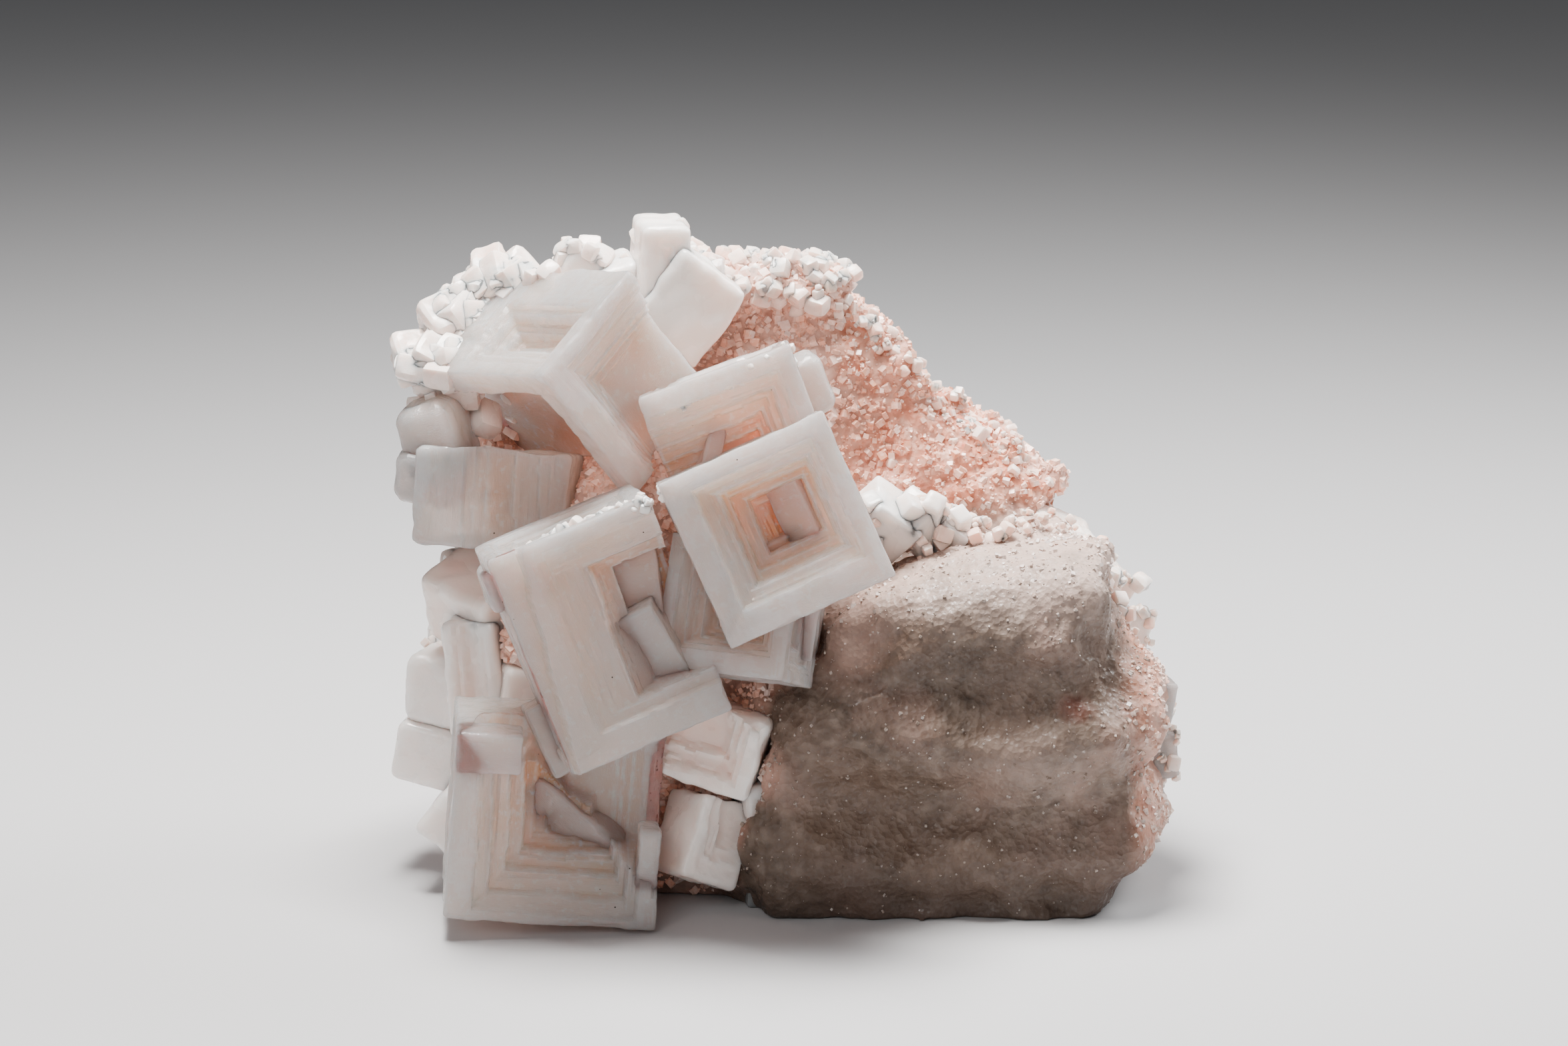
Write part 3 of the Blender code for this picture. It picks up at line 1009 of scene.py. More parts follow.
@dataclass
class SaltLump:
    """The sandy lump.

    Attributes:
        node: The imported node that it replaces.
        voxel: The cell size of its melted mesh, in metres.
        smoothing: How often that mesh is smoothed.
        bumps: Pairs of size and height of its roughness, in millimetres.
        seed: The seed of its noise.
    """

    node: str = "salt_matrix"
    voxel: float = 0.00055
    smoothing: int = 8
    bumps: tuple = ((4.0, 0.35), (1.6, 0.22), (0.8, 0.16))
    seed: int = 5

    WELD = 0.001  # points nearer than this are merged, in millimetres
    WAVE = 14  # from one wave's crest to the next
    CREST = 33  # the level of one crest
    ROLL = 1.3  # how high the waves roll
    SINK = 0.9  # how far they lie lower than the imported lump
    SOLE = 0.4  # up to this level the lump is its sole, which stays flat

    def waves(self, places: np.ndarray, ripples: Ripples) -> np.ndarray:
        """How the lobe's front rolls, in broad level waves.

        Args:
            places: Points on the lump, in millimetres.
            ripples: The noise that bends the waves.

        Returns:
            How far each point moves out.
        """
        x, y, z = places.T
        level = z + 2.0 * ripples.rough(places + 5, 14.0, 2) - 0.10 * (x - 20)
        front = rise(4 - y, 6) * rise(x - 2, 6) * rise(z, 4)
        return front * (self.ROLL * np.cos((level - self.CREST) / self.WAVE * 2 * math.pi) - self.SINK)

    def melted(self) -> bpy.types.Mesh:
        """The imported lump, merged, melted into even cells and smoothed.

        Returns:
            Its mesh.
        """
        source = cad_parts[self.node].data.copy()
        merged = bmesh.new()
        merged.from_mesh(source)
        bmesh.ops.remove_doubles(merged, verts=merged.verts, dist=self.WELD * MM)
        merged.to_mesh(source)
        merged.free()
        maker = bpy.data.objects.new("melting", source)
        bpy.context.scene.collection.objects.link(maker)
        remesh = maker.modifiers.new("melt", "REMESH")
        remesh.mode = "VOXEL"
        remesh.voxel_size = self.voxel
        maker.modifiers.new("smooth", "SMOOTH").iterations = self.smoothing
        bpy.context.view_layer.update()
        graph = bpy.context.evaluated_depsgraph_get()
        mesh = bpy.data.meshes.new_from_object(maker.evaluated_get(graph))
        bpy.data.objects.remove(maker)
        return mesh

    def build(self, finish: bpy.types.Material) -> bpy.types.Object:
        """Makes the lump.

        Args:
            finish: Its material.

        Returns:
            The piece.
        """
        mesh = self.melted()
        places = read_vectors(mesh.vertices, "co") / MM
        normals = read_vectors(mesh.vertex_normals, "vector")
        ripples = Ripples(self.seed)
        height = sum(tall * ripples.rough(places + 13 * size, size, 2) for size, tall in self.bumps)
        height += self.waves(places, ripples)
        raised = places + normals * height[:, None]
        level = places[:, 2]
        raised[:, 2] = np.where(level < self.SOLE, np.maximum(level, 0.05), raised[:, 2])
        mesh.vertices.foreach_set("co", keep_inside(raised * MM).astype(np.float32).ravel())
        add_values(mesh, zones(places, ripples))
        mesh.shade_smooth()
        return show("salt_lump_finished", mesh, finish, (self.node,))


ZONES = ("pink", "white_and_lit", "shade_and_dirt", "rust_and_hole")
RUST_AND_HOLE = (  # middles and sizes of the rusty spots, in millimetres; the first is the hole, a dark red spot partly painted as shade
    ((29.8, -13.5, 22.9), 1.9),
    ((25.0, 6.0, 42.4), 0.8),
    ((9.7, 5.0, 42.1), 0.6),
    ((17.0, 5.0, 41.0), 0.6),
    ((36.5, -8.0, 8.5), 1.0),
)
SPOT = (1.3, 3.0, 0.8)  # a spot's stretch along X, Y and Z


def zones(places: np.ndarray, ripples: Ripples) -> dict[str, np.ndarray]:
    """The lump's colour zones.

    Args:
        places: Points on the lump, in millimetres.
        ripples: The noise that frays the zones' borders.

    Returns:
        How pink, whitish or painted light, painted shade or dirty, and rusty or in the hole each point is,
        from 0 to 1.
    """
    x, y, z = places.T
    fray = ripples.rough(places, 7.0, 4)
    # Pink: the slab behind the lobe, the core under the hoppers, and the far right side.
    slab = rise(z - 38.5 - 0.12 * (x - 15) + y * 0.35 + fray * 1.5, 3.0)
    core = rise(-2.0 - x + (z - 12) * 0.25 + fray * 2, 4.0)
    side = 0.7 * rise(x - 36.0 + fray, 3)
    pink = np.clip(np.maximum(np.maximum(slab, core), side) + 0.15 * fray, 0, 1)
    # White and painted light: the lobe's top, lighter partly as painted light, the slab's crest and sloping
    # border, the right edge, and a bulge lightened as a painted highlight.
    top = rise(z - 29.0 + fray * 2.5, 11) * (x > 4) * (1 - slab)
    bulge = np.exp(-(((x - 27) / 9) ** 2) - (((z - 16 + fray * 2) / 4.5) ** 2)) * (1 - slab)
    crest = rise(z - 60.5 + fray * 2, 3)
    border = slab * rise(z + 0.80 * x - 63.5 + fray * 2, 4) * (x > 2)
    edge = rise(x - 38.0 + fray, 3)
    mild = [0.6 * top, 0.9 * crest, 0.6 * border, 0.45 * edge, 0.5 * core, 0.18 * bulge]
    white_and_lit = np.clip(np.max(mild, axis=0) + 0.1 * fray, 0, 1)
    # Painted shade, with random dark patches: the lobe's foot, and a band under its top.
    low = rise(11 - z + fray * 4, 10) * rise(-y - 2, 8)
    band = np.exp(-(((z - 26.5 - 0.1 * (x - 20) + fray) / 3.5) ** 2)) * rise(-y - 4, 6)
    shade_and_dirt = np.clip(0.7 * low + 0.4 * band + 0.2 * np.clip(fray, 0, 1), 0, 0.75)
    # Rusty spots, and the hole as a dark red spot whose darkness is partly painted shade.
    rust_and_hole = np.zeros_like(x)
    for middle, size in RUST_AND_HOLE:
        away = np.linalg.norm((places + MIDDLE - middle) / SPOT, axis=1)
        rust_and_hole = np.maximum(rust_and_hole, np.clip(1.5 - away / size + 0.3 * fray, 0, 0.8))
    return dict(zip(ZONES, (pink, white_and_lit, shade_and_dirt, rust_and_hole)))


@dataclass
class Studio:
    """The floor, the light and the camera.

    Attributes:
        distance: How far the camera stands from what it looks at, in metres.
        elevation: How far it looks down, in degrees.
        aim: What it looks at.
        lens: Its lens, in millimetres.
        room: The colour of the soft light from all around.
        dim: How strong that light is.
        lamps: Each lamp's name, place, power, side and colour.
    """

    distance: float = 0.463
    elevation: float = 14.0
    aim: Triple = (-0.0001, 0.0002, 0.0386)
    lens: float = 100.0
    room: Triple = (0.80, 0.82, 0.86)
    dim: float = 0.10
    lamps: tuple = (
        ("key", (-0.03, 0.02, 0.30), 3.6, 0.12, (1.0, 0.97, 0.94)),
        ("fill", (-0.14, -0.42, 0.30), 0.8, 0.24, (1.0, 0.98, 0.97)),
        ("rim", (0.22, 0.10, 0.22), 1.2, 0.14, (1.0, 1.0, 1.0)),
    )

    def floor(self) -> None:
        """A plain pale floor."""
        board = NodeBoard("pale_floor")
        board.fix(Base_Color=(0.50, 0.50, 0.51, 1.0), Roughness=0.7)
        sheet = bmesh.new()
        bmesh.ops.create_grid(sheet, x_segments=1, y_segments=1, size=3.0)
        mesh = bpy.data.meshes.new("floor")
        sheet.to_mesh(mesh)
        sheet.free()
        mesh.materials.append(board.material)
        floor = bpy.data.objects.new("floor", mesh)
        bpy.context.scene.collection.objects.link(floor)

    def lamp(self, name: str, place: tuple, power: float, size: float, colour: tuple) -> None:
        """A soft square lamp that looks at the specimen.

        Args:
            name: The lamp's name.
            place: Where it hangs, in metres.
            power: Its power in watts.
            size: Its side in metres.
            colour: Its colour.
        """
        light = bpy.data.lights.new(name, "AREA")
        light.energy, light.size, light.color = power, size, colour
        lamp = bpy.data.objects.new(name, light)
        bpy.context.scene.collection.objects.link(lamp)
        lamp.location = place
        lamp.rotation_euler = (Vector(self.aim) - Vector(place)).to_track_quat("-Z", "Y").to_euler()

    def build(self) -> None:
        """Makes the floor, the lights and the camera."""
        self.floor()
        world = bpy.data.worlds.new("soft_room")
        bpy.context.scene.world = world
        world.use_nodes = True
        sky = world.node_tree.nodes["Background"]
        sky.inputs["Color"].default_value = (*self.room, 1.0)
        sky.inputs["Strength"].default_value = self.dim
        for lamp in self.lamps:
            self.lamp(*lamp)
        data = bpy.data.cameras.new("camera")
        data.lens, data.sensor_width, data.clip_start = self.lens, 36.0, 0.01
        camera = bpy.data.objects.new("camera", data)
        bpy.context.scene.collection.objects.link(camera)
        angle = math.radians(self.elevation)
        back = Vector((0, -math.cos(angle), math.sin(angle)))
        camera.location = Vector(self.aim) + back * self.distance
        camera.rotation_euler = (-back).to_track_quat("-Z", "Y").to_euler()
        bpy.context.scene.camera = camera


def dents(*sides: Side, depth: float = 1.3, rim: float = 1.2, run: float = 3.5) -> dict[Side, Pit]:
    """Plain shallow hollows.

    Args:
        sides: The faces that have one.
        depth: The hollows' depth, in millimetres.
        rim: Their rims' width.
        run: How far their walls take to their floors.

    Returns:
        The hollows, keyed by their faces.
    """
    return {side: Pit(depth, (rim,) * 4, (run,) * 4) for side in sides}


def front_hopper() -> Cluster:
    """The large cube in front, with its deep peach hollow and the plates in it.

    Returns:
        The crystals.
    """
    front = Pit(6.2, (2.7, 2.0, 3.0, 2.0), (6.9, 3.6, 5.6, 4.8), (1.3, 2.0, 1.6))
    cube = Cube(
        (-1.0, -19.5, 42.9), (18.2, 14.0, 18.2), (-14, -23, 8),
        {FRONT: front, **dents(RIGHT, LEFT, BOTTOM, TOP)},
        FINE, 0.3, 1.5, 0.12, seed=3,
    )
    return Cluster.of(
        "hopper_front",
        cube,
        cube.plate((2.7, -1.1, 0.6), (3.6, 2.4, 6.6), (3, 0, -24), 4, rounding=0.25, warmth=0.35),
        cube.plate((0.2, -0.3, -2.0), (5.0, 2.0, 2.8), (26, 0, 8), 5, rounding=0.25, warmth=0.55),
    )


def beneath() -> Cluster:
    """The two cubes behind and below the large one.

    Returns:
        The crystals.
    """
    front = Pit(4.2, (1.4, 1.6, 2.2, 1.6), (4.6, 4.0, 3.2, 4.0), (0.6, 1.0, 1.0, 0.5), (1.0, 1.0, 1.2, 1.0))
    small = Pit(1.6, (1.4,) * 4, (2.5,) * 4, (1.0, 0.8), (1.0, 1.0))
    return Cluster.of(
        "hopper_beneath",
        Cube(
            (-4.3, -14.9, 33.0), (14, 10, 14), (-20, 1, -20),
            {FRONT: front, **dents(RIGHT, depth=1.4), **dents(BOTTOM)}, FINE, 0.3, 1.4, 0.14, seed=7,
        ),
        Cube(
            (-0.5, -11.5, 32.3), (9, 8, 9), (-8, 8, -6), {FRONT: small, **dents(RIGHT)}, MEDIUM, 0.25, 0.6,
            seed=8,
        ),
    )


def lower_front_hopper() -> Cluster:
    """The tall hopper left of the large one, whose right wall is missing.

    Returns:
        The crystals.
    """
    front = Pit(
        6.6, (3.9, OPEN, 3.1, 1.4), (9.0, 4.0, 2.8, 5.4), (0.58, 0.34, 0.12), (0.16, 0.36, 0.48), 0.35,
        (Break((-6.6, 0.0), 172.8, 1.5, 0.5, 0.15),),
    )
    cube = Cube(
        (-18.6, -19.0, 32.2), (17.6, 11.0, 24.0), (-6, -20, 14),
        {FRONT: front, **dents(LEFT), **dents(TOP, depth=0.8), **dents(BOTTOM)}, FINE, 0.35, 1.5, 0.14,
        seed=12,
    )
    return Cluster.of(
        "hopper_lower_front",
        cube,
        cube.plate((5.4, 1.2, 3.4), (4.8, 4.0, 8.0), (0, 14, -14), 15, rounding=0.4, warmth=0.35),
        cube.plate((3.4, -0.5, -3.6), (6.4, 3.6, 9.0), (6, -8, -20), 16, rounding=0.3, warmth=0.12),
        Cube((-28.6, -14.5, 35.9), (5, 6, 4.5), (-6, -16, 14), cell=MEDIUM, rounding=0.8, seed=13),
        Cube((-23.4, -15.5, 20.0), (5, 4, 8), (-6, -22, 14), cell=MEDIUM, rounding=0.4, seed=14),
    )


def upper_middle_hopper() -> Cluster:
    """The hopper behind the large one: stepped bars above and on its right, open on its left.

    Returns:
        The crystals.
    """
    front = Pit(
        5.2, (OPEN, 1.8, 2.0, 2.2), (5.0, 5.2, 5.0, 6.6), (1.0, 1.0, 1.0, 0.7), (0.7, 1.0, 1.0, 1.0), 0.35
    )
    cube = Cube(
        (-4.5, -9.0, 49.7), (16.5, 12.0, 16.0), (-10, -20, 4),
        {FRONT: front, **dents(TOP, depth=1.0), **dents(RIGHT)}, FINE, 0.45, 1.6, 0.2, 0.05, seed=17,
    )
    return Cluster.of(
        "hopper_upper_middle",
        cube,
        cube.plate((-4.8, -0.6, -1.6), (1.8, 6.0, 9.5), (0, 36, 14), 19, rounding=0.5, warmth=0.15),
        Cube((2.8, -8.0, 55.6), (3.2, 4.5, 6.4), (0, -22, 15), cell=MEDIUM, rounding=1.2, seed=18),
    )


def upper_left_hopper() -> Cluster:
    """The largest hopper: three of its faces meet in a corner that points at the viewer.

    Returns:
        The crystals.
    """
    pits = {
        FRONT: Pit(4.6, (OPEN, 3.0, OPEN, 3.0), (5.0, 3.2, 5.0, 2.6), (0.5, 1.0, 0.8)),
        TOP: Pit(3.2, (9.0, 1.6, 1.6, 5.5), (3.5, 6.0, 5.6, 3.0), (1.0, 1.3, 1.0)),
        RIGHT: Pit(3.2, (2.8, OPEN, OPEN, 1.6), (3.2, 5.0, 5.0, 5.6), (0.8, 1.2, 1.2, 0.8), (1.0,) * 4),
        LEFT: Pit(3.0, (2.2,) * 4, (5.0,) * 4),
    }
    cube = Cube(
        (-23.3, -0.4, 54.4), (25.9, 15.6, 17.3), (38, -8, -52), pits, 0.22, 0.45, 1.0, 0.25, -0.2, seed=22
    )
    return Cluster.of("hopper_upper_left", cube)


def lower_left_hopper() -> Cluster:
    """The hopper that stands lowest: broken across from its upper left to its right.

    Returns:
        The crystals.
    """
    front = Pit(
        5.6, (2.6, 2.0, 1.0, OPEN), (6.4, 3.6, 7.6, 5.0), (1.0, 0.9, 0.8, 0.9), (0.8, 1.0, 1.2, 1.4), 0.35,
        (Break((0.7, 1.3), 52.5, 7.6, 2.4, 1.0),),
    )
    cube = Cube(
        (-23.9, -16.5, 11.6), (22.0, 13.0, 20.3), (1, 5, 5),
        {FRONT: front, **dents(LEFT, RIGHT), **dents(BOTTOM, depth=0.8)}, FINE, 0.4, 1.6, 0.18, seed=26,
    )
    worn = {"chips": 1.6, "bulge": 0.3, "warmth": 0.15}
    return Cluster.of(
        "hopper_lower_left",
        cube,
        cube.plate((-7.4, -4.4, 8.0), (6.6, 4.0, 4.2), (0, 0, 0), 27, rounding=0.4),
        cube.plate((9.7, -4.0, -2.6), (2.3, 4.6, 6.4), (0, 0, 0), 28, rounding=0.6),
        cube.plate((1.6, 0.4, -0.6), (12.0, 3.4, 4.4), (16, 38, 0), 29, rounding=0.5, **worn),
    )


def left_hopper() -> Cluster:
    """The low hopper at the left edge, with the two lumps that have grown into it.

    Returns:
        The crystals.
    """
    front = Pit(
        1.9, (1.6, 1.2, OPEN, OPEN), (7.4, 6.0, 2.4, 3.0), (0.8, 1.2, 0.6, 1.0, 0.8),
        (1.0, 0.6, 1.0, 0.7, 1.0), 0.5,
    )
    return Cluster.of(
        "hopper_left",
        Cube(
            (-30.2, -2.5, 41.8), (16.5, 10, 10.5), (-13, 2, -6), {FRONT: front, **dents(LEFT, BOTTOM)},
            MEDIUM, 0.8, 1.0, 0.3, 0.1, seed=30,
        ),
        Cube((-36.6, 0.5, 48.0), (6.5, 8, 8), (0, -18, -10), dents(LEFT), COARSE, 1.6, bulge=0.3, seed=31),
        Cube((-37.3, -0.5, 44.0), (7, 7, 5.5), (0, 6, -6), cell=COARSE, rounding=1.4, bulge=0.3, seed=32),
    )


def top_crystals() -> Cluster:
    """The pointed crystals at the top.

    Returns:
        The crystals.
    """
    faint, high, back = dents(FRONT, depth=0.5), dents(TOP, depth=0.8), dents(BACK)
    swollen = {"cell": COARSE, "bulge": 0.25}
    return Cluster.of(
        "top_crystal",
        Cube((-13.2, 6.5, 64.6), (5.2, 9, 11), (0, 2, 10), faint, MEDIUM, 0.8, bulge=0.25, seed=35),
        Cube((-11.0, 8.0, 61.4), (9, 13, 10), (0, 38, 8), back, MEDIUM, 0.9, 0.8, 0.25, 0.1, seed=36),
        Cube((-17.6, 7.5, 62.8), (5, 6, 6), (8, -20, 12), rounding=0.9, seed=37, **swollen),
        Cube((-22.0, 8.0, 63.4), (5.5, 6, 7), (0, 34, 5), rounding=1.0, seed=38, **swollen),
        Cube((-28.6, 9.5, 57.6), (11, 13, 9), (6, -38, 8), high, COARSE, 1.2, bulge=0.35, seed=39),
    )


def lower_crystals() -> Cluster:
    """The small crystals between the hopper at the foot and the lump.

    Returns:
        The crystals.
    """
    upper = Pit(1.8, (OPEN, 1.6, 1.2, OPEN), (4.0, 3.0, 3.5, 4.0), waver=0.8)
    lower = Pit(1.2, (1.0, OPEN, 1.5, OPEN), (3.0, 2.0, 4.0, 4.0), waver=0.8)
    faint = dents(FRONT, depth=0.5, rim=0.8, run=1.5)
    worn = (MEDIUM, 0.7, 1.6, 0.35)
    return Cluster.of(
        "lower_crystals",
        Cube((-7.0, -12.0, 17.6), (10, 7, 8.5), (-6, 14, -12), {FRONT: upper}, *worn, 0.15, seed=42),
        Cube((-2.2, -10.5, 11.4), (5, 7, 5), (0, -8, 14), faint, MEDIUM, 0.6, seed=43),
        Cube((0.6, -11.0, 11.0), (4, 6, 4.6), (0, 6, -8), cell=MEDIUM, rounding=0.7, seed=44),
        Cube((-8.6, -12.0, 7.4), (7, 8, 9), (-8, 24, 28), {FRONT: lower}, *worn, 0.1, seed=45),
    )


def left_crystals() -> Cluster:
    """The cubes down the left side.

    Returns:
        The crystals.
    """
    front = Pit(1.2, (0.8, 0.8, OPEN, OPEN), (1.8, 1.8, 2.0, 2.0), waver=0.5)
    tilted, left = dents(LEFT, depth=1.5), dents(LEFT)
    return Cluster.of(
        "left_crystals",
        Cube((-32.0, 0.5, 29.6), (10, 9, 9), (22, 12, -40), tilted, MEDIUM, 1.0, 1.4, 0.4, 0.25, seed=48),
        Cube((-36.2, 3.0, 19.9), (7, 9, 8), (0, 6, -20), left, COARSE, 1.4, bulge=0.3, seed=49),
        Cube((-37.2, 3.0, 12.8), (8, 9, 6.5), (0, 10, -14), left, COARSE, 1.0, bulge=0.25, seed=50),
        Cube(
            (-31.9, -1.5, 23.0), (6, 11, 13), (0, -4, -12), {FRONT: front}, COARSE, 1.0, bulge=0.35,
            warmth=0.1, seed=51,
        ),
        Cube((-27.6, -3.5, 21.6), (6, 10, 6), (0, 8, 10), cell=COARSE, rounding=0.8, warmth=0.25, seed=52),
        Cube((-34.2, -3.0, 7.4), (6.5, 12, 6), (0, 38, -8), cell=COARSE, rounding=0.8, seed=53),
    )


def notch_crystals() -> Cluster:
    """The small pointed crystals in the notch between lump and slab: four stout ones, five thin ones.

    Returns:
        The crystals.
    """
    stout = (
        ((10.4, -1.0, 39.0), (6.0, 6, 6.0), (30, 36, 20)),
        ((14.2, 0.0, 38.6), (4.6, 5, 5.4), (20, -32, 30)),
        ((8.0, -2.5, 36.6), (4.6, 5, 4.6), (40, 18, -10)),
        ((17.2, 0.5, 37.2), (3.6, 4, 4.2), (26, 40, 12)),
    )
    thin = (
        ((12.4, -2.4, 40.0), (2.2, 2.4, 4.6), (34, 28, 40)),
        ((9.6, -3.0, 40.6), (2.0, 2.4, 4.2), (20, -24, 20)),
        ((15.8, -1.8, 40.4), (2.2, 2.2, 4.0), (38, 20, -20)),
        ((18.6, -0.6, 39.0), (2.0, 2.2, 3.2), (40, -18, 30)),
        ((7.6, -3.4, 38.8), (2.4, 2.4, 3.6), (30, 12, 50)),
    )
    cubes = [
        Cube(*laid, cell=MEDIUM, rounding=rounding, warmth=0.15, seed=first + number)
        for rows, rounding, first in ((stout, 0.4, 56), (thin, 0.3, 80))
        for number, laid in enumerate(rows)
    ]
    return Cluster.of("notch_crystals", *cubes)


def plate_crystals() -> Cluster:
    """The white plates behind the lump's right shoulder.

    Returns:
        The crystals.
    """
    rows = (
        ((29.4, 9.5, 33.0), (7, 7, 7.5), (10, 22, 14), dents(TOP)),
        ((33.0, 9.5, 29.0), (6.5, 8, 7.5), (8, 32, 24), dents(RIGHT)),
        ((35.4, 8.5, 24.2), (6, 8, 7), (0, 18, 30), dents(RIGHT)),
    )
    cubes = [Cube(*laid, COARSE, 0.8, 1.4, 0.35, 0.2, seed=62 + number) for number, laid in enumerate(rows)]
    return Cluster.of("plate_crystals", *cubes)


def lump_crystals() -> Cluster:
    """The hoppers that grow on the lump's back and on its right edge, a little proud of its solid.

    Returns:
        The crystals.
    """
    hoppers = (
        ((-22.0, 19.5, 46.0), (10.2, 9.2, 10.2), (14, 12, 24),
         {**dents(BACK, depth=2.6, rim=1.4, run=3.0), **dents(TOP, LEFT, depth=2.0)}),
        ((-12.0, 20.5, 52.5), (7.2, 7.2, 7.2), (22, -18, 40),
         dents(BACK, TOP, depth=1.5, rim=1.0, run=2.2)),
        ((-27.5, 17.5, 30.5), (11.2, 10.2, 11.2), (-10, 8, 32),
         {**dents(BACK, depth=2.8, rim=1.4, run=3.6), **dents(LEFT, depth=2.4), **dents(TOP, depth=2.0)}),
        ((-8.0, 21.5, 30.0), (9.2, 8.2, 9.2), (6, 24, -14),
         {**dents(BACK, depth=2.2, rim=1.2, run=3.0), **dents(TOP, depth=1.8)}),
        ((12.0, 21.0, 40.0), (7.2, 6.2, 7.2), (12, 34, 16), dents(BACK, depth=1.5, rim=1.0, run=2.2)),
        ((-20.0, 20.0, 14.5), (9.2, 8.2, 8.2), (4, -16, 18),
         {**dents(BACK, depth=2.2, rim=1.2, run=2.6), **dents(LEFT, depth=1.8)}),
    )
    small = (
        ((39.9, 1.5, 18.6), (3.2, 5.2, 5.2), (0, 10, 12)),
        ((40.2, 2.5, 12.6), (3.2, 6.2, 5.2), (0, -6, 20)),
        ((39.2, 1.5, 7.6), (3.6, 5.2, 4.6), (0, -16, 10)),
        ((-1.4, -10.5, 1.4), (6.2, 5.2, 2.8), (0, 0, 12)),
    )
    cubes = [Cube(*laid, MEDIUM, 0.4, 0.9, seed=66 + number) for number, laid in enumerate(hoppers)]
    cubes += [Cube(*laid, cell=COARSE, rounding=0.5, seed=72 + number) for number, laid in enumerate(small)]
    return Cluster.of("", *cubes)


# The hoppers are part see-through, the soft crystals milky.
HOPPERS = (
    front_hopper,
    beneath,
    lower_front_hopper,
    upper_middle_hopper,
    upper_left_hopper,
    lower_left_hopper,
    left_hopper,
)
SOFT_CRYSTALS = (top_crystals, lower_crystals, left_crystals, notch_crystals, plate_crystals)


@dataclass
class Druse:
    """Small cubes of salt that cover a strip of the specimen.

    Attributes:
        start: One end of the strip's middle line, in millimetres.
        end: Its other end.
        width: How far the cubes stray from the line.
        count: How many cubes.
        small: The smallest cube's edge.
        large: The largest cube's edge.
        warmth: How peach-coloured they are.
    """

    start: Triple
    end: Triple
    width: float
    count: int
    small: float
    large: float
    warmth: float = 0.0

    CELLS = 3  # how many cells a small cube's edge has
    CELL = 0.7  # the largest cell, in millimetres
    HOLLOWED = 2.2  # the edge past which a cube has a hollow

    def cubes(self, ground: BVHTree, rng: np.random.Generator) -> list[Cube]:
        """Sets the cubes on the nearest surface.

        Args:
            ground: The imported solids' surface, in metres.
            rng: The random numbers.

        Returns:
            The cubes.
        """
        grown = []
        for number in range(self.count):
            place = Vector(self.start).lerp(Vector(self.end), rng.random())
            place += Vector(rng.uniform(-1, 1, 3)) * self.width
            edge = self.small + (self.large - self.small) * rng.random() ** 1.8
            spot, normal, _, _ = ground.find_nearest((place - MIDDLE) * MM)
            centre = spot / MM + MIDDLE + normal * edge * rng.uniform(-0.4, 0.1)
            size = tuple(edge * rng.uniform(0.8, 1.2, 3))
            turn = tuple(rng.uniform(-45, 45, 3))
            hollowed = edge > self.HOLLOWED
            pits = dents(TOP, depth=0.12 * edge, rim=0.15 * edge, run=0.25 * edge) if hollowed else {}
            cell, warmth = min(edge / self.CELLS, self.CELL), self.warmth + rng.uniform(0, 0.2)
            worn = (0.2 * edge, 0.7 * edge, 0.10 * edge)
            grown.append(Cube(tuple(centre), size, turn, pits, cell, *worn, warmth, 200 + number))
        return grown


DRUSE_SEED = 31
DRUSES = {  # strips by piece: start, end, width, count, smallest and largest edge, warmth
    "druse_crystals_top": (
        Druse((-8, 10, 65), (6, 12, 63), 4, 210, 0.5, 2.0, 0.25),
        Druse((-36, 3, 52), (-24, 6, 63), 4, 60, 1.0, 3.4, 0.1),
        Druse((-39.5, 2.5, 55.5), (-31, 10, 64), 2.5, 120, 1.2, 4.6, 0.12),
        Druse((-38.0, 0.0, 56.5), (-27, 7, 65), 1.8, 90, 0.8, 3.8, 0.12),
        Druse((-24, 8, 63), (-10, 10, 66), 4, 50, 0.8, 3.0, 0.05),
    ),
    "druse_crystals_front": (
        Druse((5, 12, 60), (28, 12, 41), 2, 160, 0.4, 1.3, 0.35),
        Druse((8, -1, 38.5), (20, 1, 38.5), 2.5, 120, 0.6, 1.8, 0.3),
        Druse((20, 0, 39), (37, 4, 34), 3, 150, 0.4, 1.3, 0.3),
        Druse((37, 4, 34), (41, 2, 8), 3, 110, 0.6, 1.8, 0.3),
    ),
    "druse_crystals_back": (
        Druse((-28, 16, 56), (26, 18, 36), 9, 150, 0.7, 2.4, 0.35),
        Druse((-26, 20, 8), (32, 19, 22), 12, 200, 0.6, 2.2, 0.4),
        Druse((-36, 8, 12), (-34, 10, 46), 6, 70, 0.8, 2.6, 0.15),
    ),
    "salt_nubs": (
        Druse((-26.5, -21, 41.5), (-10, -22, 48), 0.8, 70, 0.4, 1.3),
        Druse((-13, -13, 54), (2, -12, 60), 0.8, 70, 0.4, 1.1),
    ),
}


